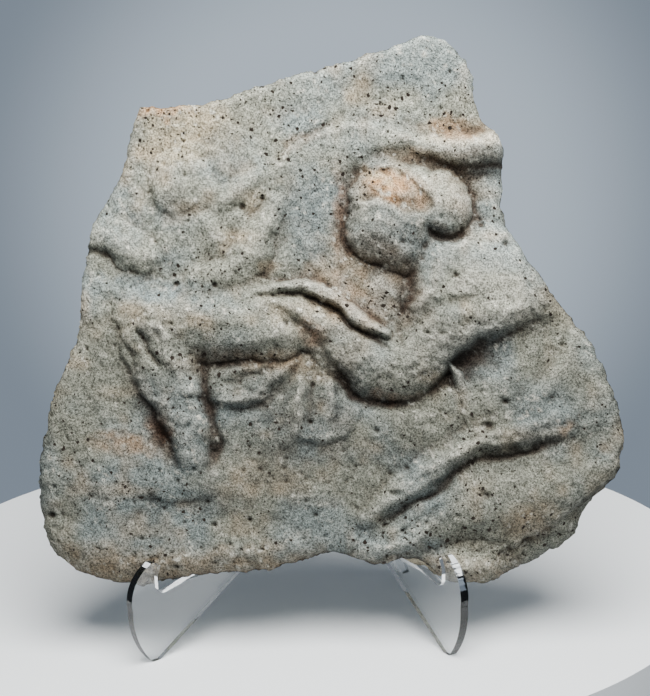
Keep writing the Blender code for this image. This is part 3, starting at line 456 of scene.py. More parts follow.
def right_head(r):
    """The bowed, worn head and its chipped crown."""
    r.fold([(368, 163), (354, 180), (346, 205), (345, 232), (350, 252), (360, 270)], -3.8, 10, 8, (0.15, 0.2))
    r.mound(410, 207, 61, 43, 15.0, 8, 0.6, 0.6, 3)
    r.mound(384, 230, 35, 36, 15.0, 24, 0.7, 0.7, 7)
    r.mound(444, 204, 28, 36, 15.8, -14, 0.8, 0.5, 10)
    r.mound(400, 248, 27, 27, 12.5, 30, 0.9, 0.8, 6)
    r.fold([(414, 224), (426, 232), (438, 238), (452, 240), (466, 232)], -5.0, 4, 5, (0.3, 0.1))
    r.swell(446, 236, 16, 6, -2.5, 6)
    r.swell(372, 252, 26, 12, -2.2, 40)
    r.fold([(366, 212), (380, 214), (394, 219)], -1.0, 3, 5)
    r.fold([(364, 236), (378, 240), (390, 246)], -1.2, 3, 5)
    chip = [(361, 203), (361, 186), (370, 174), (392, 171), (408, 178), (420, 190), (430, 203),
            (427, 214), (404, 219), (390, 208), (376, 203), (361, 203)]
    cut_chip(r, chip, 3.0, 1.8)


def cut_chip(r, outline, depth, edge):
    """A rough broken patch, let in by a depth inside an outline."""
    line = smooth_line(outline, 3)
    at = r.near(line, 4)
    x, y = r.x[at], r.y[at]
    d, side, _, _ = nearest(x, y, line)
    inside = ease(0.5 + d * side / (2 * edge))
    rough = 1 + 0.3 * grain(x, y, 10, 5) + 0.22 * grain(x, y, 5, 6)
    r.h[at] -= depth * rough * inside


def chest(r):
    """The hollow chest between the arm and the head."""
    r.swell(358, 284, 42, 34, -2.6, 20)
    r.swell(381, 288, 13, 10, 1.8)
    r.fold([(301, 228), (309, 255), (318, 272), (333, 290), (348, 306)], 1.5, 9, 3)
    r.fold([(330, 262), (346, 284), (366, 304)], -1.0, 5, 5)


def back_and_arm(r):
    """The bent back, the arms that reach forward and their folds."""
    r.mound(492, 290, 92, 66, 11.8, 18, 0.8, 0.8, 6)
    r.limb([(442, 244, 27, 10.5), (440, 270, 26, 11), (436, 300, 30, 11)], 8, FULL, SOFT)
    r.limb([(556, 290, 34, 7), (524, 292, 38, 8.5), (490, 302, 38, 9.5), (454, 324, 38, 10),
            (422, 350, 34, 10.5), (394, 366, 31, 11)], 8, FULL, SOFT)
    r.step([(572, 314), (545, 319), (518, 325), (484, 338), (455, 361), (432, 386), (404, 402)],
           5.0, 3.5, 50, (0.3, 0.2))
    r.limb([(254, 306, 6, 5), (276, 307, 10, 7), (298, 313, 15, 10), (320, 329, 20, 12),
            (350, 356, 28, 13), (382, 369, 32, 14), (404, 367, 32, 14)], 6, FULL, TIGHT)
    r.limb([(240, 297, 4, 5), (264, 293, 7, 7.5), (292, 288, 8, 9), (318, 294, 9, 10), (336, 306, 9, 10.8),
            (352, 319, 10, 11.6), (370, 329, 9, 11.8), (386, 337, 6, 11)], 4, FULL, FULL)
    r.fold([(248, 299), (268, 298), (288, 297), (304, 296)], -1.8, 2, 3)
    r.fold([(294, 290), (314, 301), (331, 314), (349, 328), (368, 341), (388, 350), (404, 362)],
           -2.0, 2.5, 4.5, (0.2, 0.2))
    r.fold([(306, 289), (325, 297), (342, 311), (360, 323)], -1.2, 2, 2.5)
    r.fold([(404, 352), (398, 338), (396, 322)], -1.6, 3, 4)
    r.fold([(434, 243), (440, 262), (434, 284), (420, 308), (404, 326)], 1.8, 5, 4)
    r.fold([(400, 268), (410, 282), (411, 302), (398, 324)], -4.6, 8, 6, (0.25, 0.3))
    r.fold([(404, 346), (428, 328), (462, 318), (496, 313), (540, 306)], 1.6, 9, 6)
    r.fold([(418, 318), (440, 306), (462, 302), (486, 304)], -1.2, 5, 5)
    r.fold([(440, 250), (472, 247), (506, 257), (532, 276), (548, 298)], 1.4, 6, 12)
    r.fold([(452, 262), (470, 276), (486, 296)], 0.9, 6, 6)
    r.swell(458, 288, 18, 10, 0.9)


def under_arm(r):
    """The deep hollow below the arm."""
    r.swell(474, 366, 30, 17, -4.0, -14)
    r.fold([(424, 398), (444, 379), (462, 362), (484, 347), (512, 334), (545, 326)], -2.6, 3, 9, (0.12, 0.3))
    r.limb([(444, 362, 4, 7), (453, 372, 4, 6.5), (462, 388, 7, 4.5)], 3, FULL, FULL)


def right_body(r):
    """The right figure's body and its cloth."""
    r.mound(556, 390, 96, 98, 9.5, -20, 1.0, 1.0, 6)
    r.fold([(556, 345), (540, 370), (522, 392), (498, 416)], -1.5, 10, 9)
    r.fold([(572, 350), (560, 374), (538, 400)], 1.2, 6, 7)
    r.fold([(540, 340), (520, 358), (500, 380)], 1.0, 7, 7)
    r.swell(420, 418, 66, 32, 4.6, -14)
    r.swell(520, 408, 40, 26, 1.6, -20)


def right_legs(r):
    """The right figure's folded legs and their folds."""
    r.limb([(604, 402, 26, 6), (566, 416, 28, 9), (528, 430, 24, 9.8), (490, 441, 20, 10),
            (452, 459, 18, 9.2), (418, 483, 17, 8.4), (392, 502, 13, 7), (366, 519, 6, 3.5)],
           6, WIDE, (1.2, 1.1))
    r.limb([(632, 452, 34, 6), (580, 478, 42, 9), (532, 494, 46, 9.5), (480, 502, 40, 8.5),
            (440, 518, 27, 7.5), (405, 534, 17, 6.5), (380, 547, 11, 5), (360, 557, 7, 3.5)],
           4, (1.0, 1.0), (1.15, 1.2))
    r.fold([(578, 432), (556, 443), (532, 451), (504, 457), (474, 464), (446, 484), (428, 497),
            (405, 511), (385, 519), (364, 526)], -3.0, 3, 8, (0.2, 0.15))
    r.fold([(448, 452), (466, 442), (486, 438)], -1.4, 2, 3)
    r.fold([(462, 456), (490, 451), (515, 446), (540, 439)], -1.4, 2.5, 3.5)
    r.fold([(436, 466), (456, 455), (480, 447)], 1.3, 2.5, 2.5)
    r.fold([(404, 488), (420, 478), (440, 470)], -1.2, 2.5, 3)
    r.fold([(500, 434), (530, 426), (560, 414)], 1.0, 4, 4)
    r.fold([(448, 505), (425, 519), (408, 529), (392, 538), (374, 547)], -2.4, 3, 5)
    r.fold([(452, 514), (430, 526), (412, 538), (396, 550)], 1.6, 3.5, 3.5)
    r.fold([(408, 540), (392, 547), (374, 555)], 1.6, 4, 5)
    r.step([(480, 554), (505, 548), (522, 543), (540, 534), (560, 518), (580, 502), (606, 484)], -4.5, 3, 70,
           (0.3, 0))
    r.swell(455, 570, 36, 17, 6.5)


def left_figure(r):
    """The left figure's worn head, trunk and arm."""
    r.swell(185, 232, 76, 62, 4.4)
    r.mound(190, 176, 42, 34, 5.8, 0, 1.4, 0.9, 8)
    r.mound(177, 191, 24, 26, 8.4, 8, 1.0, 0.5, 7)
    r.fold([(180, 146), (192, 155), (206, 158), (218, 152)], -1.2, 3, 4)
    r.fold([(210, 160), (216, 176), (226, 190)], -1.2, 6, 6)
    r.mound(241, 190, 30, 13, 6.4, -38, 1.0, 0.8, 6)
    r.mound(224, 205, 18, 10, 5.5, -30, 1.0, 0.8, 6)
    r.fold([(272, 204), (256, 213), (242, 222), (228, 244)], -1.8, 6, 6)
    r.limb([(276, 204, 11, 6.5), (266, 228, 17, 8.6), (250, 254, 21, 9.2), (230, 274, 19, 8.8),
            (200, 279, 13, 7)], 5, (1.0, 0.7), FULL)
    r.fold([(290, 210), (284, 238), (270, 264), (252, 290), (226, 298), (202, 294)], -1.8, 6, 12)
    r.fold([(246, 214), (238, 238), (228, 262)], 1.4, 4, 6)
    r.fold([(188, 276), (205, 268), (224, 262)], 1.2, 4, 5)
    r.fold([(203, 212), (208, 230), (216, 248)], 1.8, 6, 5)
    r.limb([(84, 234, 13, 4), (105, 236, 15, 5.5), (128, 244, 16, 7), (152, 254, 13, 7.4)],
           5, SOFT, (1.0, 0.6))
    r.mound(136, 254, 30, 19, 7.4, 22, 1.0, 0.5, 6)
    r.fold([(98, 222), (120, 224), (140, 234), (160, 247)], 1.2, 3, 5)
    r.fold([(80, 251), (100, 254), (118, 261), (134, 272)], -2.0, 3, 5, (0, 0.25))
    r.fold([(108, 292), (112, 312), (106, 334)], -0.9, 5, 6)


def thigh_and_shin(r):
    """The left figure's thigh and shin."""
    r.limb([(150, 322, 34, 9), (200, 321, 40, 12.5), (250, 322, 41, 13.5), (286, 325, 37, 12.5),
            (308, 328, 24, 10.5)], 8, SOFT, (0.95, 0.65))
    r.limb([(166, 322, 33, 12), (170, 362, 32, 12.5), (180, 403, 27, 11.5), (190, 436, 22, 10.5),
            (193, 462, 17, 8.5), (188, 484, 9, 4)], 6, TIGHT, (1.0, 0.75))
    r.step([(184, 476), (176, 450), (169, 430), (160, 414), (150, 400), (143, 389), (135, 372),
            (127, 357), (122, 340), (130, 326), (146, 320)], 3.0, 2.5, 15, (0.12, 0.15))
    r.fold([(136, 327), (145, 342), (154, 357), (166, 370)], -3.0, 5, 3)
    r.fold([(152, 318), (166, 340), (178, 366), (192, 396), (206, 424)], 1.6, 7, 5)
    r.fold([(180, 408), (195, 424), (212, 440)], 1.4, 4, 5)
    r.fold([(206, 340), (207, 365), (208, 395), (214, 418), (222, 446), (208, 476)], -3.0, 4, 7, (0.15, 0.2))
    r.swell(163, 438, 14, 20, -3.4, -15)
    r.swell(216, 452, 12, 12, -1.8, 15)
    r.fold([(180, 296), (214, 302), (246, 312), (272, 330)], -0.9, 9, 9)
    r.fold([(200, 340), (236, 344), (268, 338), (294, 326)], 1.0, 9, 7)


def seat_cloth(r):
    """The cloth between the two figures."""
    r.swell(276, 404, 82, 46, 6.5)
    r.fold([(204, 361), (240, 366), (275, 362), (312, 350)], -2.0, 5, 6)
    r.fold([(208, 374), (222, 371), (246, 370), (276, 361), (308, 342)], 2.4, 4.5, 4.5)
    r.fold([(216, 384), (238, 381), (262, 373), (286, 358)], -1.6, 3, 3.5)
    r.fold([(210, 396), (226, 402), (242, 400), (264, 390), (286, 370), (306, 350)], 3.4, 7, 3.5)
    r.fold([(222, 408), (244, 409), (268, 398), (290, 378), (308, 358)], -2.2, 2.5, 7)
    r.swell(211, 408, 9, 16, -3.2)
    r.fold([(300, 372), (298, 396), (298, 420), (295, 446)], 2.4, 4.5, 4)
    r.fold([(308, 372), (310, 396), (308, 430)], -1.2, 3, 5)
    r.fold([(318, 340), (326, 366), (330, 396), (324, 434)], 2.0, 6, 5)
    r.fold([(338, 382), (346, 402), (344, 430)], 1.6, 6, 5)
    r.fold([(274, 398), (276, 420), (270, 444)], 1.0, 6, 5)
    r.step([(376, 392), (362, 412), (354, 428), (340, 438), (322, 439), (304, 444), (284, 449), (262, 452)],
           3.2, 3, 28, (0.3, 0.4))


def arm_crevice(r):
    """The groove below the arm."""
    r.fold([(256, 306), (285, 313), (303, 326), (320, 344), (335, 367), (346, 384), (358, 399),
            (380, 404), (405, 404), (430, 396)], -4.2, 4, 9, (0.2, 0.2))
    r.swell(308, 328, 8, 10, -1.5, 40)
    r.swell(350, 388, 10, 14, -1.5, -30)


def ground(r):
    """Low swells of the ground."""
    r.swell(110, 480, 60, 40, 3.6)
    r.swell(205, 480, 60, 24, 4.4)
    r.swell(300, 500, 60, 30, 1.8)
    r.fold([(122, 499), (148, 500), (170, 503), (200, 502), (236, 495)], -1.8, 3, 20, (0.3, 0.3))
    r.swell(258, 521, 28, 13, -1.4)
    r.swell(95, 545, 60, 22, 2.6)
    r.swell(190, 560, 60, 14, 2.0)
    r.swell(148, 574, 34, 16, -2.0)
    r.swell(300, 545, 50, 12, 1.8)
    r.swell(88, 400, 45, 60, 2.2)
    r.swell(120, 320, 40, 30, 1.8)


def carve(x, y):
    """Levels of the carving at places in drawing steps."""
    wander = 2.4 * grain(x, y, 30, 31) + 1.2 * grain(x, y, 12, 32)
    drift = 2.4 * grain(x, y, 30, 33) + 1.2 * grain(x, y, 12, 34)
    r = Relief(x + wander, y + drift)
    ground(r)
    mantle(r)
    left_figure(r)
    seat_cloth(r)
    thigh_and_shin(r)
    right_body(r)
    right_legs(r)
    back_and_arm(r)
    under_arm(r)
    arm_crevice(r)
    chest(r)
    right_head(r)
    return r.h + 0.8 * grain(x, y, 44, 11) + 0.45 * grain(x, y, 19, 12)


def layered(x, y, layers, seed):
    """Sum of noises, each given as its height and its lump size."""
    return sum(tall * grain(x, y, cell, seed + k) for k, (tall, cell) in enumerate(layers))


def edge_side(stations, count, seed):
    """One side of the outline at even spacing, with its broken edge; its two ends stay."""
    curve = smooth_line(stations, 12)
    run = np.concatenate([[0], np.cumsum(np.hypot(*np.diff(curve, axis=0).T))])
    even = np.linspace(0, run[-1], count + 1)
    line = np.column_stack([np.interp(even, run, curve[:, 0]), np.interp(even, run, curve[:, 1])])
    along = np.gradient(line, axis=0)
    out = np.column_stack([along[:, 1], -along[:, 0]]) / np.hypot(*along.T)[:, None]
    fade = np.clip(np.minimum(even, even[::-1]) / EDGE_FADE, 0, 1)
    broken = layered(even, 0 * even, EDGE_NOISE, seed)
    return line + out * (broken * fade)[:, None]


def fill_outline(top, bottom, left, right):
    """Grid places inside four sides, row by row from the left side to the right one."""
    u = np.linspace(0, 1, len(top))[None, :, None]
    v = np.linspace(0, 1, len(left))[:, None, None]
    across = (1 - v) * top[None] + v * bottom[None]
    down = (1 - u) * left[:, None] + u * right[:, None]
    corners = ((1 - u) * (1 - v) * top[0] + u * (1 - v) * top[-1] + (1 - u) * v * bottom[0]
               + u * v * bottom[-1])
    return across + down - corners


def bottom_share(y):
    """0 over the upper part of the slab and 1 along its lower edge."""
    return ease((y - BOTTOM_ROWS[0]) / (BOTTOM_ROWS[1] - BOTTOM_ROWS[0]))


def cells(x, y, cell, seed):
    """Distance to the nearest of scattered places, in cells, and that place's own random value."""
    gx, gy = x / cell, y / cell
    ix, iy = np.floor(gx), np.floor(gy)
    best = np.full(x.shape, 9.0)
    value = np.zeros(x.shape)
    for ox in (-1, 0, 1):
        for oy in (-1, 0, 1):
            cx, cy = ix + ox, iy + oy
            px = cx + 0.5 + PIT_JITTER * (lattice(cx, cy, seed) - 0.5)
            py = cy + 0.5 + PIT_JITTER * (lattice(cx, cy, seed + 1) - 0.5)
            d = np.hypot(gx - px, gy - py)
            near = d < best
            best[near] = d[near]
            value[near] = lattice(cx, cy, seed + 2)[near]
    return best, value


def pit_depth(x, y):
    """Depth in levels of the pits spread over the stone and of its few wide ones."""
    depth = np.zeros(x.shape)
    for cell, seed, chance, size, deep in PIT_KINDS:
        crowd = 0.5 + 0.5 * grain(x, y, 70, seed + 5) + 0.45 * bottom_share(y)
        d, value = cells(x, y, cell, seed)
        radius = size * (0.6 + 0.8 * value / chance)
        is_pit = value < chance * np.clip(crowd, 0.15, 1.2)
        depth = np.maximum(depth, deep * is_pit * ease(1.4 - d * cell / radius))
    for px, py, wide, high, deep in LARGE_PITS:
        r = np.hypot((x - px) / wide, (y - py) / high)
        depth = np.maximum(depth, deep * ease(1.25 - r))
    return depth


def oval(x, y, middle, halves, turn):
    """1 inside a turned oval and 0 well outside it."""
    c, s = math.cos(math.radians(turn)), math.sin(math.radians(turn))
    dx, dy = x - middle[0], y - middle[1]
    r = ((dx * c + dy * s) / halves[0]) ** 2 + ((-dx * s + dy * c) / halves[1]) ** 2
    return np.exp(-0.8 * r * r)


def rough_skin(x, y):
    """How rough and broken the stone's skin is."""
    return sum(tall * oval(x, y, (px, py), (wide, high), turn)
               for px, py, wide, high, turn, tall in ROUGH_SKIN)


def fine_relief(x, y):
    """Levels of the fine folds and of the stone's rough skin."""
    skin = rough_skin(x, y)
    level = (0.45 + 0.5 * skin) * grain(x, y, 8, 41) + (0.36 + 0.5 * skin) * grain(x, y, 4.4, 42)
    level += (0.28 + 0.3 * skin) * grain(x, y, 2.3, 43)
    for wide, tall, stations in FINE_FOLDS:
        line = smooth_line(stations)
        near = np.flatnonzero((x > line[:, 0].min() - 9) & (x < line[:, 0].max() + 9)
                              & (y > line[:, 1].min() - 9) & (y < line[:, 1].max() + 9))
        distance, _, share = nearest(x[near], y[near], line)[:3]
        broken = 0.8 + 0.5 * grain(x[near], y[near], 11, 47)
        level[near] += tall * broken * np.exp(-(distance / wide) ** 2) * ends_fade(share, 0.15, 0.15)
    return level


def front_depth(x, y, outline):
    """How far the front stands out from the back, in metres."""
    wear = [layered(x, y, WEAR_NOISE, seed) for seed in (31, 34)]
    level = carve(x + wear[0], y + wear[1]) + fine_relief(x, y) - pit_depth(x, y)
    depth = SLAB_THICKNESS + level * RELIEF_DEPTH / TOP_LEVEL
    distance = nearest(x, y, outline)[0] * SLAB_WIDTH / (LAST_COLUMN - FIRST_COLUMN)
    radius = EDGE_ROUND_TOP + (EDGE_ROUND_BOTTOM - EDGE_ROUND_TOP) * bottom_share(y)
    inset = np.clip(1 - distance / (radius * 1.4), 0, 1)
    return depth - radius * (1 - np.sqrt(1 - inset ** 2))


def around(values, reach):
    """Mean of each rim value with its neighbours, so that the inset eases round a corner."""
    return sum(np.roll(values, shift, axis=0) for shift in range(-reach, reach + 1)) / (2 * reach + 1)


def slab_place(x, y):
    """Across from the slab's middle and up from its lowest point, in metres."""
    across = (x - (FIRST_COLUMN + LAST_COLUMN) / 2) / (LAST_COLUMN - FIRST_COLUMN) * SLAB_WIDTH
    up = (LAST_ROW - y) / (LAST_ROW - FIRST_ROW) * SLAB_HEIGHT
    return across, up


def ring_faces(previous, current):
    """Four-sided faces between two rings of points."""
    return list(zip(previous, current, np.roll(current, -1), np.roll(previous, -1)))


def slab_front(columns, rows):
    """Points, faces and drawing places of the carved front, and the numbers of the points round its rim."""
    top, bottom = edge_side(TOP_EDGE, columns, 1), edge_side(BOTTOM_EDGE, columns, 3)
    left, right = edge_side(LEFT_EDGE, rows, 5), edge_side(RIGHT_EDGE, rows, 7)
    places = fill_outline(top, bottom, left, right).reshape(-1, 2)
    index = np.arange(len(places)).reshape(rows + 1, columns + 1)
    rim = np.concatenate([index[0, :-1], index[:-1, -1], index[-1, :0:-1], index[:0:-1, 0]])
    outline = places[np.append(rim, rim[0])]
    across, up = slab_place(*places.T)
    front = np.column_stack([across, -front_depth(*places.T, outline[::3]), up])
    faces = [(index[r, c], index[r + 1, c], index[r + 1, c + 1], index[r, c + 1])
             for r in range(rows) for c in range(columns)]
    return front, faces, places, rim


def side_rings(edge, places, shares):
    """Rings of points down the broken sides, at shares of the way from the front's edge to the back."""
    soft_edge = around(edge, SIDE_REACH)
    ahead = np.roll(edge, -1, axis=0) - np.roll(edge, 1, axis=0)
    inward = np.column_stack([ahead[:, 2], -ahead[:, 0]])
    inward /= np.hypot(*inward.T)[:, None]
    inward = around(inward, round(CORNER_EASE * len(edge)))
    run = np.cumsum(np.hypot(*np.diff(places, axis=0, append=places[:1]).T))
    low = bottom_share(places[:, 1])
    back_inset = BACK_INSET + (BACK_INSET_BOTTOM - BACK_INSET) * low
    heel = HEEL_DROP * low * np.exp(-((places[:, 0] - HEEL_COLUMN) / HEEL_SPREAD) ** 2)
    for share in shares:
        rough = layered(run, 0 * run + SIDE_NOISE_RUN * share, SIDE_NOISE, 21)
        inset = back_inset * share ** 1.3 + BACK_INSET * rough * min(1, 2 * share)
        inset -= heel * math.sin(math.pi * share ** 1.6)
        calm = min(1, 1.6 * share)
        ring = edge * (1 - calm) + soft_edge * calm
        ring[:, 1] *= 1 - share
        ring[:, 0] += inward[:, 0] * inset
        ring[:, 2] += inward[:, 1] * inset
        yield ring


def back_ring(edge, share):
    """The back's edge, drawn in towards its middle by a share."""
    middle = edge.mean(axis=0)
    ring = middle + (edge - middle) * (1 - share)
    ring[:, 1] = 0.0
    return ring


def slab_shell(columns, rows, bands):
    """Vertices, faces and drawing places of the whole slab: front, broken sides and dressed back."""
    front, faces, places, rim = slab_front(columns, rows)
    shares = [band / bands for band in range(1, bands + 1)]
    rings = list(side_rings(front[rim], places[rim], shares))
    rings += [back_ring(rings[-1], share) for share in BACK_RING_SHARES]
    spots = [places[rim] + SIDE_SPOT_RUN * share for share in shares]
    spots += [places[rim] * (1 - share) + share * BACK_SPOT for share in BACK_RING_SHARES]
    previous = rim
    for number in range(len(rings)):
        current = len(front) + number * len(rim) + np.arange(len(rim))
        faces += ring_faces(previous, current)
        previous = current
    faces.append(tuple(previous[::-1]))
    return np.vstack([front] + rings), faces, np.vstack([places] + spots)


def linear(color):
    """Linear values of an sRGB colour given from 0 to 255."""
    c = np.asarray(color, float) / 255
    return np.where(c <= 0.04045, c / 12.92, ((c + 0.055) / 1.055) ** 2.4)


def blurred(field, reach):
    """Mean of a grid of values over a square window, with the edge values carried outwards."""
    for axis in (0, 1):
        pad = [(reach, reach) if k == axis else (0, 0) for k in (0, 1)]
        run = np.cumsum(np.pad(field, pad, mode="edge"), axis=axis)
        run = np.concatenate([np.zeros_like(np.take(run, [0], axis=axis)), run], axis=axis)
        high = np.take(run, range(2 * reach + 1, run.shape[axis]), axis=axis)
        low = np.take(run, range(0, run.shape[axis] - 2 * reach - 1), axis=axis)
        field = (high - low) / (2 * reach + 1)
    return field


def toward(tone, color, share, strength=1.0):
    """The tone of each point, moved towards a colour by its own share times a strength."""
    return tone + (linear(color) - tone) * share[:, None] * strength


def mottled_ground(x, y):
    """Grey green stone, mottled with blue grey and tan."""
    tone = np.broadcast_to(linear(GREY_GREEN), (len(x), 3))
    cool = ease(0.5 + 0.9 * grain(x, y, 60, 71) + 0.5 * grain(x, y, 24, 72))
    tone = toward(tone, BLUE_GREY, cool, BLUE_SHARE)
    warm = ease(0.35 * grain(x, y, 40, 73) + 0.45 * grain(x, y, 14, 74) + 0.1)
    return toward(tone, TAN, warm, TAN_SHARE)


def stained_and_shaded(tone, x, y):
    """The tone with the stains and lichens and with patches of painted shade, whose edges wobble."""
    wobble = 5 * grain(x, y, 14, 75) + 3 * grain(x, y, 6, 76)
    for px, py, wide, high, turn, color, strength in PATCHES:
        share = strength * oval(x + wobble, y + wobble, (px, py), (wide, high), turn)
        share *= 0.75 + 0.35 * grain(x, y, 7, 77)
        tone = toward(tone, color, np.clip(share, 0, 1))
    return tone


def hollow_shade_and_wear(tone, x, y, cavity):
    """The tone with painted shade in its hollows, brown like the dirt there, pale worn crests and clusters of
    light flecks on rough skin.
    """
    tone = toward(tone, SHADE_BROWN, np.clip(cavity / CAVITY_FULL, 0, 1), CAVITY_SHARE)
    crest = np.clip(-cavity / CREST_FULL, 0, 1)
    tone = toward(tone, PALE, crest, CREST_SHARE)
    clusters = 0.5 + 0.5 * grain(x, y, 26, 93) + 0.9 * crest + 0.5 * rough_skin(x, y)
    flecks = ease(1.5 * (grain(x, y, 4.2, 91) + 0.8 * grain(x, y, 2.2, 92)) - 0.9) * np.clip(clusters, 0, 1.2)
    return toward(tone, PALE, np.clip(FLECK_SHARE * flecks, 0, 1))


def front_tints(x, y, cavity, slope):
    """Colour of the front at drawing places: its ground and stains, painted shade in its hollows and patches,
    painted light on its upward faces and painted shade towards the bottom.
    """
    tone = hollow_shade_and_wear(stained_and_shaded(mottled_ground(x, y), x, y), x, y, cavity)
    cloud = 0.5 * grain(x, y, 36, 94) + 0.5 * grain(x, y, 12, 95)
    speck = grain(x, y, 2.4, 78) + 0.9 * grain(x, y, 1.3, 79)
    low = ease((y - LOW_SHADE_ROWS[0]) / (LOW_SHADE_ROWS[1] - LOW_SHADE_ROWS[0]))
    # Painted light on faces that slope upwards, painted shade on those that slope downwards, and painted
    # shade towards the slab's bottom
    painted_light = 1 + UPWARD_LIGHT_SHARE * np.clip(slope / UPWARD_LIGHT_SLOPE, -1, 1) - LOW_SHADE_SHARE * low
    return tone * (1 + CLOUD_SHARE * cloud)[:, None] * ((1 + SPECK_SHARE * speck) * painted_light)[:, None]


def side_tints(x, y, flat):
    """Colour of the broken sides at drawing places, and of the back, where flat is 1 and the tone is even."""
    warm = ease(0.35 + 0.5 * (1 - flat) * grain(x, y, 44, 81))[:, None]
    tone = linear(GREY_GREEN) + (linear(TAN) - linear(GREY_GREEN)) * warm * 0.7
    return tone * (0.90 + 0.16 * (1 - flat) * grain(x, y, 22, 82))[:, None]


def stone_slab():
    """The whole carved slab as one mesh, with its colours on its points."""
    points, faces, spots = slab_shell(COLUMNS, ROWS, SIDE_BANDS)
    mesh = bpy.data.meshes.new("carved_slab")
    mesh.from_pydata(points.tolist(), [], [[int(i) for i in face] for face in faces])
    mesh.polygons.foreach_set("use_smooth", np.ones(len(faces), bool))
    count = (COLUMNS + 1) * (ROWS + 1)
    grid = (-points[:count, 1] * TOP_LEVEL / RELIEF_DEPTH).reshape(ROWS + 1, COLUMNS + 1)
    cavity = sum(weight * (blurred(grid, reach) - grid) for reach, weight in CAVITY_BLURS).ravel()
    slope = np.gradient(blurred(grid, 1), axis=0).ravel()
    tints = np.ones((len(points), 4))
    tints[:count, :3] = front_tints(*spots[:count].T, cavity, slope)
    flat = (np.arange(len(points) - count) >= SIDE_BANDS * 2 * (COLUMNS + ROWS)).astype(float)
    tints[count:, :3] = side_tints(*spots[count:].T, flat)
    layer = mesh.color_attributes.new("tint", "FLOAT_COLOR", "POINT")
    layer.data.foreach_set("color", np.clip(tints, 0, 1).astype(np.float32).ravel())
    slab = bpy.data.objects.new("carved_slab", mesh)
    bpy.context.scene.collection.objects.link(slab)
    slab.matrix_world = (Matrix.Translation(SLAB_PLACE) @ Matrix.Rotation(SLAB_ROLL, 4, "Y")
                         @ Matrix.Rotation(-SLAB_LEAN, 4, "X"))
    return slab


def add_node(tree, kind, values=None, links=None, **settings):
    """A shader node with its settings, plain socket values and links from other sockets."""
    node = tree.nodes.new(kind)
    for name, value in settings.items():
        setattr(node, name, value)
    sockets = {i: socket for i, socket in enumerate(node.inputs)}
    sockets.update({socket.name: socket for socket in node.inputs if socket.enabled})
    for name, value in (values or {}).items():
        sockets[name].default_value = value
    for name, source in (links or {}).items():
        tree.links.new(source, sockets[name])
    return node


def surface(name, values):
    """A new material with plain values on its surface shader."""
    material = bpy.data.materials.new(name)
    material.use_nodes = True
    shader = material.node_tree.nodes["Principled BSDF"]
    for socket, value in values.items():
        shader.inputs[socket].default_value = value
    return material


def color_out(node):
    """The colour output of a node that has outputs of several kinds."""
    return [socket for socket in node.outputs if socket.type == "RGBA"][0]


def noise(tree, place, scale, detail, roughness):
    """A soft noise at a place."""
    return add_node(tree, "ShaderNodeTexNoise", {"Scale": scale, "Detail": detail, "Roughness": roughness},
                    {"Vector": place})


def stretched(tree, source, low, high, to_low=0.0, to_high=1.0, **settings):
    """A value moved from one span to another and held at its ends."""
    spans = {"From Min": low, "From Max": high, "To Min": to_low, "To Max": to_high}
    return add_node(tree, "ShaderNodeMapRange", spans, {"Value": source}, **settings).outputs["Result"]


def joined(tree, operation, first, second):
    """Two values joined by one operation."""
    return add_node(tree, "ShaderNodeMath", None, {0: first, 1: second}, operation=operation).outputs["Value"]


def pore_mask(tree, place, spread, wide, crowd):
    """1 in scattered round pores and 0 between them; the crowd socket says how thick they lie."""
    cell = add_node(tree, "ShaderNodeTexVoronoi", {"Scale": spread, "Randomness": 1.0}, {"Vector": place})
    radius = add_node(tree, "ShaderNodeMath", {1: wide}, {0: crowd}, operation="MULTIPLY").outputs["Value"]
    room = joined(tree, "SUBTRACT", radius, cell.outputs["Distance"])
    return stretched(tree, room, 0.0, PORE_RIM)


def stone_pores(tree, place):
    """1 in pores of two widths, with bent outlines, that lie thick in some places and thin in others."""
    crowd = stretched(tree, noise(tree, place, *CROWD_NOISE).outputs["Fac"], *CROWD_STRETCH)
    bend = noise(tree, place, *BEND_NOISE)
    bent = add_node(tree, "ShaderNodeVectorMath", {1: (BEND_AMOUNT, BEND_AMOUNT, BEND_AMOUNT)},
                    {0: bend.outputs["Color"], 2: place}, operation="MULTIPLY_ADD").outputs["Vector"]
    fine = pore_mask(tree, bent, *FINE_PORES, crowd)
    wide = pore_mask(tree, bent, *WIDE_PORES, crowd)
    return joined(tree, "MAXIMUM", fine, wide)


def stone_material():
    """The points' colours with fine flecks and clouds, dark pores and a rough skin."""
    material = surface("weathered_stone",
                       {"Roughness": STONE_ROUGHNESS, "Specular IOR Level": STONE_SPECULAR})
    tree = material.node_tree
    shader = tree.nodes["Principled BSDF"]
    tint = add_node(tree, "ShaderNodeVertexColor", layer_name="tint")
    place = add_node(tree, "ShaderNodeTexCoord").outputs["Object"]
    fleck = stretched(tree, noise(tree, place, *FLECK_NOISE).outputs["Fac"], *FLECK_STRETCH)
    cloud = stretched(tree, noise(tree, place, *CLOUD_NOISE).outputs["Fac"], *CLOUD_STRETCH)
    shade = add_node(tree, "ShaderNodeVectorMath", None, {0: tint.outputs["Color"]}, operation="SCALE")
    tree.links.new(joined(tree, "MULTIPLY", fleck, cloud), shade.inputs["Scale"])
    pores = stone_pores(tree, place)
    holes = add_node(tree, "ShaderNodeMix", {"B": PORE_COLOR},
                     {"Factor": pores, "A": shade.outputs["Vector"]}, data_type="RGBA")
    tree.links.new(color_out(holes), shader.inputs["Base Color"])
    height = joined(tree, "SUBTRACT", noise(tree, place, *SKIN_NOISE).outputs["Fac"], pores)
    bump = add_node(tree, "ShaderNodeBump", {"Strength": BUMP_STRENGTH, "Distance": BUMP_DISTANCE},
                    {"Height": height})
    tree.links.new(bump.outputs["Normal"], shader.inputs["Normal"])
    return material


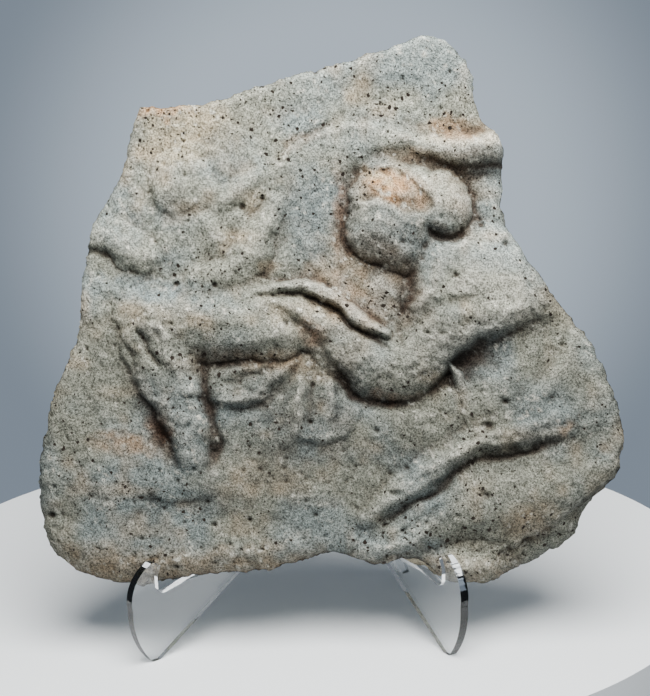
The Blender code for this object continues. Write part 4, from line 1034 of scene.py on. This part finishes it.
def acrylic_material():
    """Clear polished sheet."""
    return surface("clear_sheet", {"Base Color": SHEET_COLOR, "Roughness": SHEET_ROUGHNESS,
                                   "Transmission Weight": 1.0, "IOR": SHEET_IOR})


def floor_material():
    """Pale matt surface of the floor."""
    return surface("pale_floor", {"Base Color": (*linear(FLOOR_COLOR), 1), "Roughness": FLOOR_ROUGHNESS,
                                  "Specular IOR Level": FLOOR_SPECULAR})


def backdrop_material():
    """A glow that is brightest in the middle and shines by itself."""
    material = bpy.data.materials.new("backdrop")
    material.use_nodes = True
    tree = material.node_tree
    tree.nodes.remove(tree.nodes["Principled BSDF"])
    place = add_node(tree, "ShaderNodeTexCoord").outputs["Object"]
    fit = add_node(tree, "ShaderNodeMapping", {"Scale": (GLOW_SCALE, GLOW_SCALE, GLOW_SCALE)},
                   {"Vector": place})
    ball = add_node(tree, "ShaderNodeTexGradient", None, {"Vector": fit.outputs["Vector"]},
                    gradient_type="SPHERICAL")
    glow = stretched(tree, ball.outputs["Fac"], *GLOW_SPAN, interpolation_type="SMOOTHSTEP")
    tone = add_node(tree, "ShaderNodeMix",
                    {"A": (*linear(BACKDROP_EDGE), 1), "B": (*linear(BACKDROP_MIDDLE), 1)},
                    {"Factor": glow}, data_type="RGBA")
    shine = add_node(tree, "ShaderNodeEmission", {"Strength": 1.0}, {"Color": color_out(tone)})
    tree.links.new(shine.outputs["Emission"], tree.nodes["Material Output"].inputs["Surface"])
    return material


def stage_mesh(name, points, faces, material):
    """A mesh of the stage, not of the object."""
    mesh = bpy.data.meshes.new(name)
    mesh.from_pydata(points, [], faces)
    mesh.materials.append(material)
    obj = bpy.data.objects.new(name, mesh)
    bpy.context.scene.collection.objects.link(obj)
    return obj


def stage_disc():
    """The round floor that the stand's feet rest on."""
    turns = [math.tau * i / FLOOR_SIDES for i in range(FLOOR_SIDES)]
    ring = [(FLOOR_CENTRE[0] + FLOOR_RADIUS * math.cos(turn),
             FLOOR_CENTRE[1] + FLOOR_RADIUS * math.sin(turn)) for turn in turns]
    points = [(x, y, z) for z in (0.0, -FLOOR_THICKNESS) for x, y in ring]
    top, bottom = range(FLOOR_SIDES), range(FLOOR_SIDES, 2 * FLOOR_SIDES)
    faces = [tuple(top), tuple(reversed(bottom))]
    faces += [(i, i + FLOOR_SIDES, (i + 1) % FLOOR_SIDES + FLOOR_SIDES, (i + 1) % FLOOR_SIDES) for i in top]
    stage_mesh("floor", points, faces, floor_material())


def backdrop():
    """The upright square behind the stand."""
    half = BACKDROP_SIZE / 2
    wall = stage_mesh("backdrop", [(-half, 0, -half), (half, 0, -half), (half, 0, half), (-half, 0, half)],
                      [(0, 1, 2, 3)], backdrop_material())
    wall.location = (0, BACKDROP_DISTANCE, BACKDROP_HEIGHT)


def area_light(name, place, target, size, power, color):
    """A round lamp at a place that faces its target."""
    data = bpy.data.lights.new(name, "AREA")
    data.shape = "DISK"
    data.size = size
    data.energy = power
    data.color = color
    light = bpy.data.objects.new(name, data)
    bpy.context.scene.collection.objects.link(light)
    light.location = place
    light.rotation_euler = (Vector(target) - Vector(place)).to_track_quat("-Z", "Y").to_euler()


def sky_light():
    """Soft light from all sides."""
    world = bpy.data.worlds.new("soft_light")
    bpy.context.scene.world = world
    world.use_nodes = True
    sky = world.node_tree.nodes["Background"]
    sky.inputs["Color"].default_value = (*linear(SKY_COLOR), 1)
    sky.inputs["Strength"].default_value = SKY_STRENGTH


def photo_camera():
    """The camera in front of the slab, a little above it and rolled slightly."""
    back = Vector((math.sin(VIEW_TURN) * math.cos(VIEW_RISE), -math.cos(VIEW_TURN) * math.cos(VIEW_RISE),
                   math.sin(VIEW_RISE)))
    right = Vector((math.cos(VIEW_TURN), math.sin(VIEW_TURN), 0))
    up = back.cross(right)
    across = right * math.cos(VIEW_ROLL) + up * math.sin(VIEW_ROLL)
    rise = up * math.cos(VIEW_ROLL) - right * math.sin(VIEW_ROLL)
    data = bpy.data.cameras.new("camera")
    data.lens = LENS
    data.sensor_width = SENSOR
    data.clip_start = CLIP_NEAR
    data.clip_end = CLIP_FAR
    camera = bpy.data.objects.new("camera", data)
    bpy.context.scene.collection.objects.link(camera)
    turn = Matrix((across, rise, back)).transposed().to_4x4()
    camera.matrix_world = Matrix.Translation(Vector(VIEW_TARGET) + back * VIEW_DISTANCE) @ turn
    bpy.context.scene.camera = camera


slab = stone_slab()
slab.data.materials.append(stone_material())
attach(slab, "root")
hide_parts("relief_slab")

clear_sheet = acrylic_material()
for name in ("stand_plate_left", "stand_plate_right"):
    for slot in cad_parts[name].material_slots:
        slot.material = clear_sheet

stage_disc()
backdrop()
sky_light()
area_light("key", KEY_PLACE, KEY_TARGET, KEY_SIZE, KEY_POWER, KEY_COLOR)
area_light("fill", FILL_PLACE, FILL_TARGET, FILL_SIZE, FILL_POWER, FILL_COLOR)
photo_camera()

bpy.context.view_layer.update()
corners = [slab.matrix_world @ v.co for v in slab.data.vertices]
for name in ("stand_plate_left", "stand_plate_right"):
    corners += [Vector(corner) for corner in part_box(name)]
